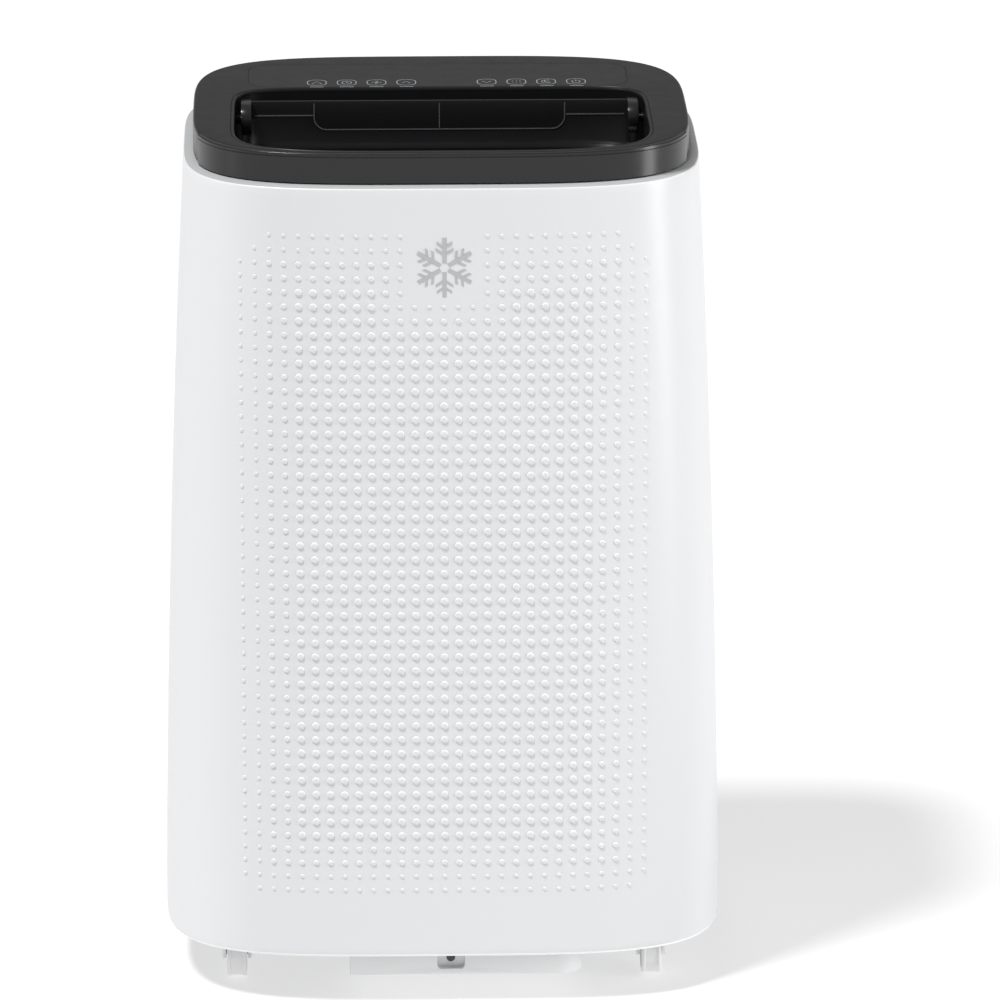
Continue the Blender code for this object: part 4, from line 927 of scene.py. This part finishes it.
def top_cover():
    hx, hy = COVER_HALF
    edge = [(0.0, COVER_BOTTOM), (0.0, COVER_BOTTOM + 0.01)]
    edge += arc((COVER_FILLET, COVER_TOP - COVER_FILLET), COVER_FILLET, 180, 90, 6)
    rings = [plan(hx - inset, hy - inset, z) for inset, z in edge]
    lip = [(0.0032, 0.0), (0.0028, -0.0005), (0.0024, 0.0), (0.0012, 0.0), (0.0004, -0.0003), (0.0, -0.0010)]
    rings += [outlet_ring(grow, COVER_TOP + rise) for grow, rise in lip + [(0.0, -WALL)]]
    rings.append(plan(hx - WALL - 0.001, hy - WALL - 0.001, COVER_TOP - WALL))
    rings.append(plan(hx - WALL, hy - WALL, COVER_BOTTOM))
    cover = plain_mesh("cover_shell", loops(rings, wrap_rows=True), cover_plastic)
    carve(cover, slab(overlay_outline(0.0003), COVER_TOP - 0.0010, COVER_TOP + 0.01))
    settle(cover, "casing", "cover_black", "top_cover")

    def on_top(x, y, top):
        return x, y, COVER_TOP - BEAD_SUNK * (1 - top)

    # The strip along the outlet's rear edge is a painted highlight.
    bm = bmesh.new()
    rear = [(x, y) for x, y, _ in outlet_ring(0.0018, 0.0) if y > BEAD_FROM]
    ribbon(bm, rear, 0.0006, on_top)
    settle(plain_mesh("outlet_bead", bm, bead_painted_highlight), "casing", "cover_black")


# A lighter grey for the flap's beads and the outlet's edge strip, as a painted highlight.
bead_painted_highlight = finish("bead_painted_highlight", (0.10, 0.10, 0.105), 0.25, mottle=0.03, relief=0.01)
BEAD_SUNK, BEAD_FROM = 0.0003, 0.030
top_cover()


# Fascia: a dark band that snaps round the front of the cover. Its rounded top edge folds over the
# cover's edge and catches a long thin highlight; a fine groove runs below it. Both ends are square.

fascia_plastic = finish("fascia_plastic", (0.0150, 0.0150, 0.0160), 0.26, mottle=0.02, grain=1500.0,
                        relief=0.01, specular=0.38)
FASCIA_FROM = 20.5


def cover_fascia():
    hx, hy = COVER_HALF
    outer, high, r = GAP + 0.0015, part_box("cover_fascia")[1].z, 0.0009
    low, groove = COVER_BOTTOM + 0.0004, high - 0.0034
    section = [(GAP, low), (outer - 0.0003, low), (outer, low + 0.0003), (outer, groove)]
    section += [(outer - 0.0004, groove + 0.0003), (outer - 0.0004, groove + 0.0006),
                (outer, groove + 0.0009)]
    section += arc((outer - r, high - r), r, 0, 90, 6)
    section += [(-0.0011, high), (-0.0016, high - 0.0002), (-0.0007, COVER_TOP - 0.0006),
                (GAP, COVER_TOP - COVER_FILLET)]
    columns = [plan(hx + grow, hy + grow, z, 180 + FASCIA_FROM, 360 - FASCIA_FROM, 120)
               for grow, z in section]
    made = plain_mesh("fascia_band", loops(list(zip(*columns))), fascia_plastic)
    settle(made, "casing", "fascia_black", "cover_fascia")


cover_fascia()


# Swing flap: a semi-gloss black deflector across the back of the outlet, moulded with its two end
# arms. It turns on stub shafts. Fine raised beads follow its lower edge, its middle tab and its
# middle line; their lighter grey is a painted highlight along the edges.

flap_plastic = finish("flap_plastic", (0.012, 0.012, 0.013), 0.22, mottle=0.04, grain=1200.0, relief=0.01,
                      specular=0.4)
dressed("swing_flap", "flap", flap_plastic, bevel=0.0008)


def flap_beads():
    face, top_edge = 0.0240, 0.6785
    tab, side_end, side_low, tab_low, r = 0.0985, 0.1455, 0.6690, 0.6575, 0.010

    def place(x, z, top):
        return x, face - 0.0006 * (1 - top), z

    # The beads' lighter grey is a painted highlight.
    bm = bmesh.new()
    tab_line = [(-tab, top_edge), (-tab, tab_low + r)] + arc((-tab + r, tab_low + r), r, 180, 270, 8)
    tab_line += arc((tab - r, tab_low + r), r, 270, 360, 8) + [(tab, top_edge)]
    ribbon(bm, tab_line, 0.0008, place)
    for side in (-1, 1):
        ribbon(bm, [(side * (tab + 0.0010), side_low), (side * side_end, side_low)], 0.0009, place)
    ribbon(bm, [(0.0, tab_low + 0.0012), (0.0, top_edge)], 0.0008, place)
    settle(plain_mesh("flap_beads", bm, bead_painted_highlight), "flap", "flap_black")


flap_beads()


# Control overlay: a thin near-black polycarbonate sheet let into the cover behind the outlet, with
# eight touch keys printed on it as pale outlines. The keys are flush and do not move.

overlay_film = finish("overlay_film", (0.0112, 0.0112, 0.0119), 0.30, mottle=0.02, grain=1500.0, relief=0.01,
                      specular=0.22)
key_print = finish("key_print", (0.30, 0.31, 0.32), 0.5, mottle=0.02, relief=0.0)
KEY_ROW, KEY_SIZE, SIGN_SIZE, KEY_LINE = 0.0735, (0.0148, 0.0195), (0.0085, 0.0120), 0.0007
KEY_PITCH, LEFT_KEY, RIGHT_KEY = 0.0236, -0.0252, 0.0384
KEY_PLACES = [LEFT_KEY - KEY_PITCH * i for i in (3, 2, 1, 0)] + [RIGHT_KEY + KEY_PITCH * i for i in range(4)]

sheet = plain_mesh("overlay", slab(overlay_outline(), COVER_TOP - 0.0007, COVER_TOP), overlay_film)
settle(sheet, "casing", "control_overlay", "control_lens")


def key_outline():
    x, y = KEY_SIZE[0] / 2, KEY_SIZE[1] / 2
    return rounded(-x, -y, x, y, x * 0.92, 7)


# Each sign is a list of (points, closed)
swing = [([(-0.45, -0.35), (0.45, -0.35), (0.0, 0.45)], True)]
clock = [(circle(0.45, 20), True), ([(0.0, 0.28), (0.0, 0.0), (0.2, -0.12)], False)]
fan = [(circle(0.10, 10), True)] + [
    ([(r * math.cos(math.pi / 2 * i + a), r * math.sin(math.pi / 2 * i + a))
      for r, a in ((0.16, 0.0), (0.36, -0.35), (0.46, 0.25))], False) for i in range(4)]
up = [([(-0.4, -0.2), (0.0, 0.25), (0.4, -0.2)], False)]
down = [([(-0.4, 0.2), (0.0, -0.25), (0.4, 0.2)], False)]
mode = [([(x - 0.05, y), (x + 0.05, y)], False) for x in (-0.35, 0.0, 0.35) for y in (-0.35, 0.0, 0.35)]
moon = [(arc((0, 0), 0.42, 60, 330, 14) + arc((0.20, 0.14), 0.34, 300, 80, 10), True)]
power = [(arc((0, -0.05), 0.38, 125, 415, 14), False), ([(0.0, 0.05), (0.0, 0.45)], False)]


def print_keys():
    bm = bmesh.new()
    for x, signs in zip(KEY_PLACES, (swing, clock, fan, up, down, mode, moon, power)):
        def place(u, v, top, x=x):
            return x + u, KEY_ROW + v, COVER_TOP - 0.00005 + 0.0001 * top
        ribbon(bm, key_outline(), KEY_LINE, place, closed=True)
        for points, closed in signs:
            sized = [(u * SIGN_SIZE[0], v * SIGN_SIZE[1]) for u, v in points]
            ribbon(bm, sized, KEY_LINE, place, closed)
        ribbon(bm, [(-0.0055, -0.0150), (0.0055, -0.0150)], 0.0011, place)
    settle(plain_mesh("printed_keys", bm, key_print), "casing", "control_overlay")


print_keys()
board_mask = finish("board_mask", (0.02, 0.13, 0.06), 0.35, mottle=0.1, grain=600.0)
dressed("control_board", "board", board_mask, bevel=0.0002)


# Studio: a sheet of pale paper as the floor, a wide soft light from high on the left, a faint light at
# each side, and a camera with a long lens a little above the object.

def soft_light(name, place, size, power, towards=(0, 0, 0.35)):
    lamp = bpy.data.lights.new(name, "AREA")
    lamp.shape = "RECTANGLE"
    lamp.size, lamp.size_y = size
    lamp.energy = power
    made = bpy.data.objects.new(name, lamp)
    made.location = place
    made.rotation_euler = (Vector(place) - Vector(towards)).to_track_quat("Z", "Y").to_euler()
    bpy.context.scene.collection.objects.link(made)


floor_bm = bmesh.new()
bmesh.ops.create_grid(floor_bm, x_segments=1, y_segments=1, size=20)
floor_paper = finish("floor_paper", (0.34, 0.34, 0.34), 0.9, mottle=0.0, relief=0.0, specular=0.0)
floor_glow = floor_paper.node_tree.nodes["Principled BSDF"].inputs
floor_glow["Emission Color"].default_value = (1, 1, 1, 1)
floor_glow["Emission Strength"].default_value = 0.60
plain_mesh("floor", floor_bm, floor_paper)

world = bpy.data.worlds.new("studio")
world.use_nodes = True
world.node_tree.nodes["Background"].inputs["Color"].default_value = (1, 1, 1, 1)
world.node_tree.nodes["Background"].inputs["Strength"].default_value = 0.25
bpy.context.scene.world = world
bpy.context.scene.view_settings.view_transform = "Standard"

sun = bpy.data.lights.new("window", "SUN")
sun.energy, sun.angle = 3.6, math.radians(9)
window = bpy.data.objects.new("window", sun)
window.rotation_euler = Vector((-0.34, -0.27, 0.88)).to_track_quat("Z", "Y").to_euler()
bpy.context.scene.collection.objects.link(window)
soft_light("left_strip", (-2.4, -0.6, 0.9), (0.6, 2.0), 2)
soft_light("right_strip", (2.4, -0.8, 0.9), (0.6, 2.0), 38)

CAMERA_SIDE, CAMERA_BACK, CAMERA_HEIGHT = -0.110, 6.0, 2.060
CAMERA_PITCH, CAMERA_YAW = 15.81, 1.50
camera = bpy.data.objects.new("camera", bpy.data.cameras.new("camera"))
camera.data.lens = 282.7
camera.data.sensor_width = 36.0
camera.data.clip_end = 100.0
camera.location = (CAMERA_SIDE, -CAMERA_BACK, CAMERA_HEIGHT)
camera.rotation_euler = (math.radians(90 - CAMERA_PITCH), 0.0, math.radians(-CAMERA_YAW))
bpy.context.scene.collection.objects.link(camera)
bpy.context.scene.camera = camera
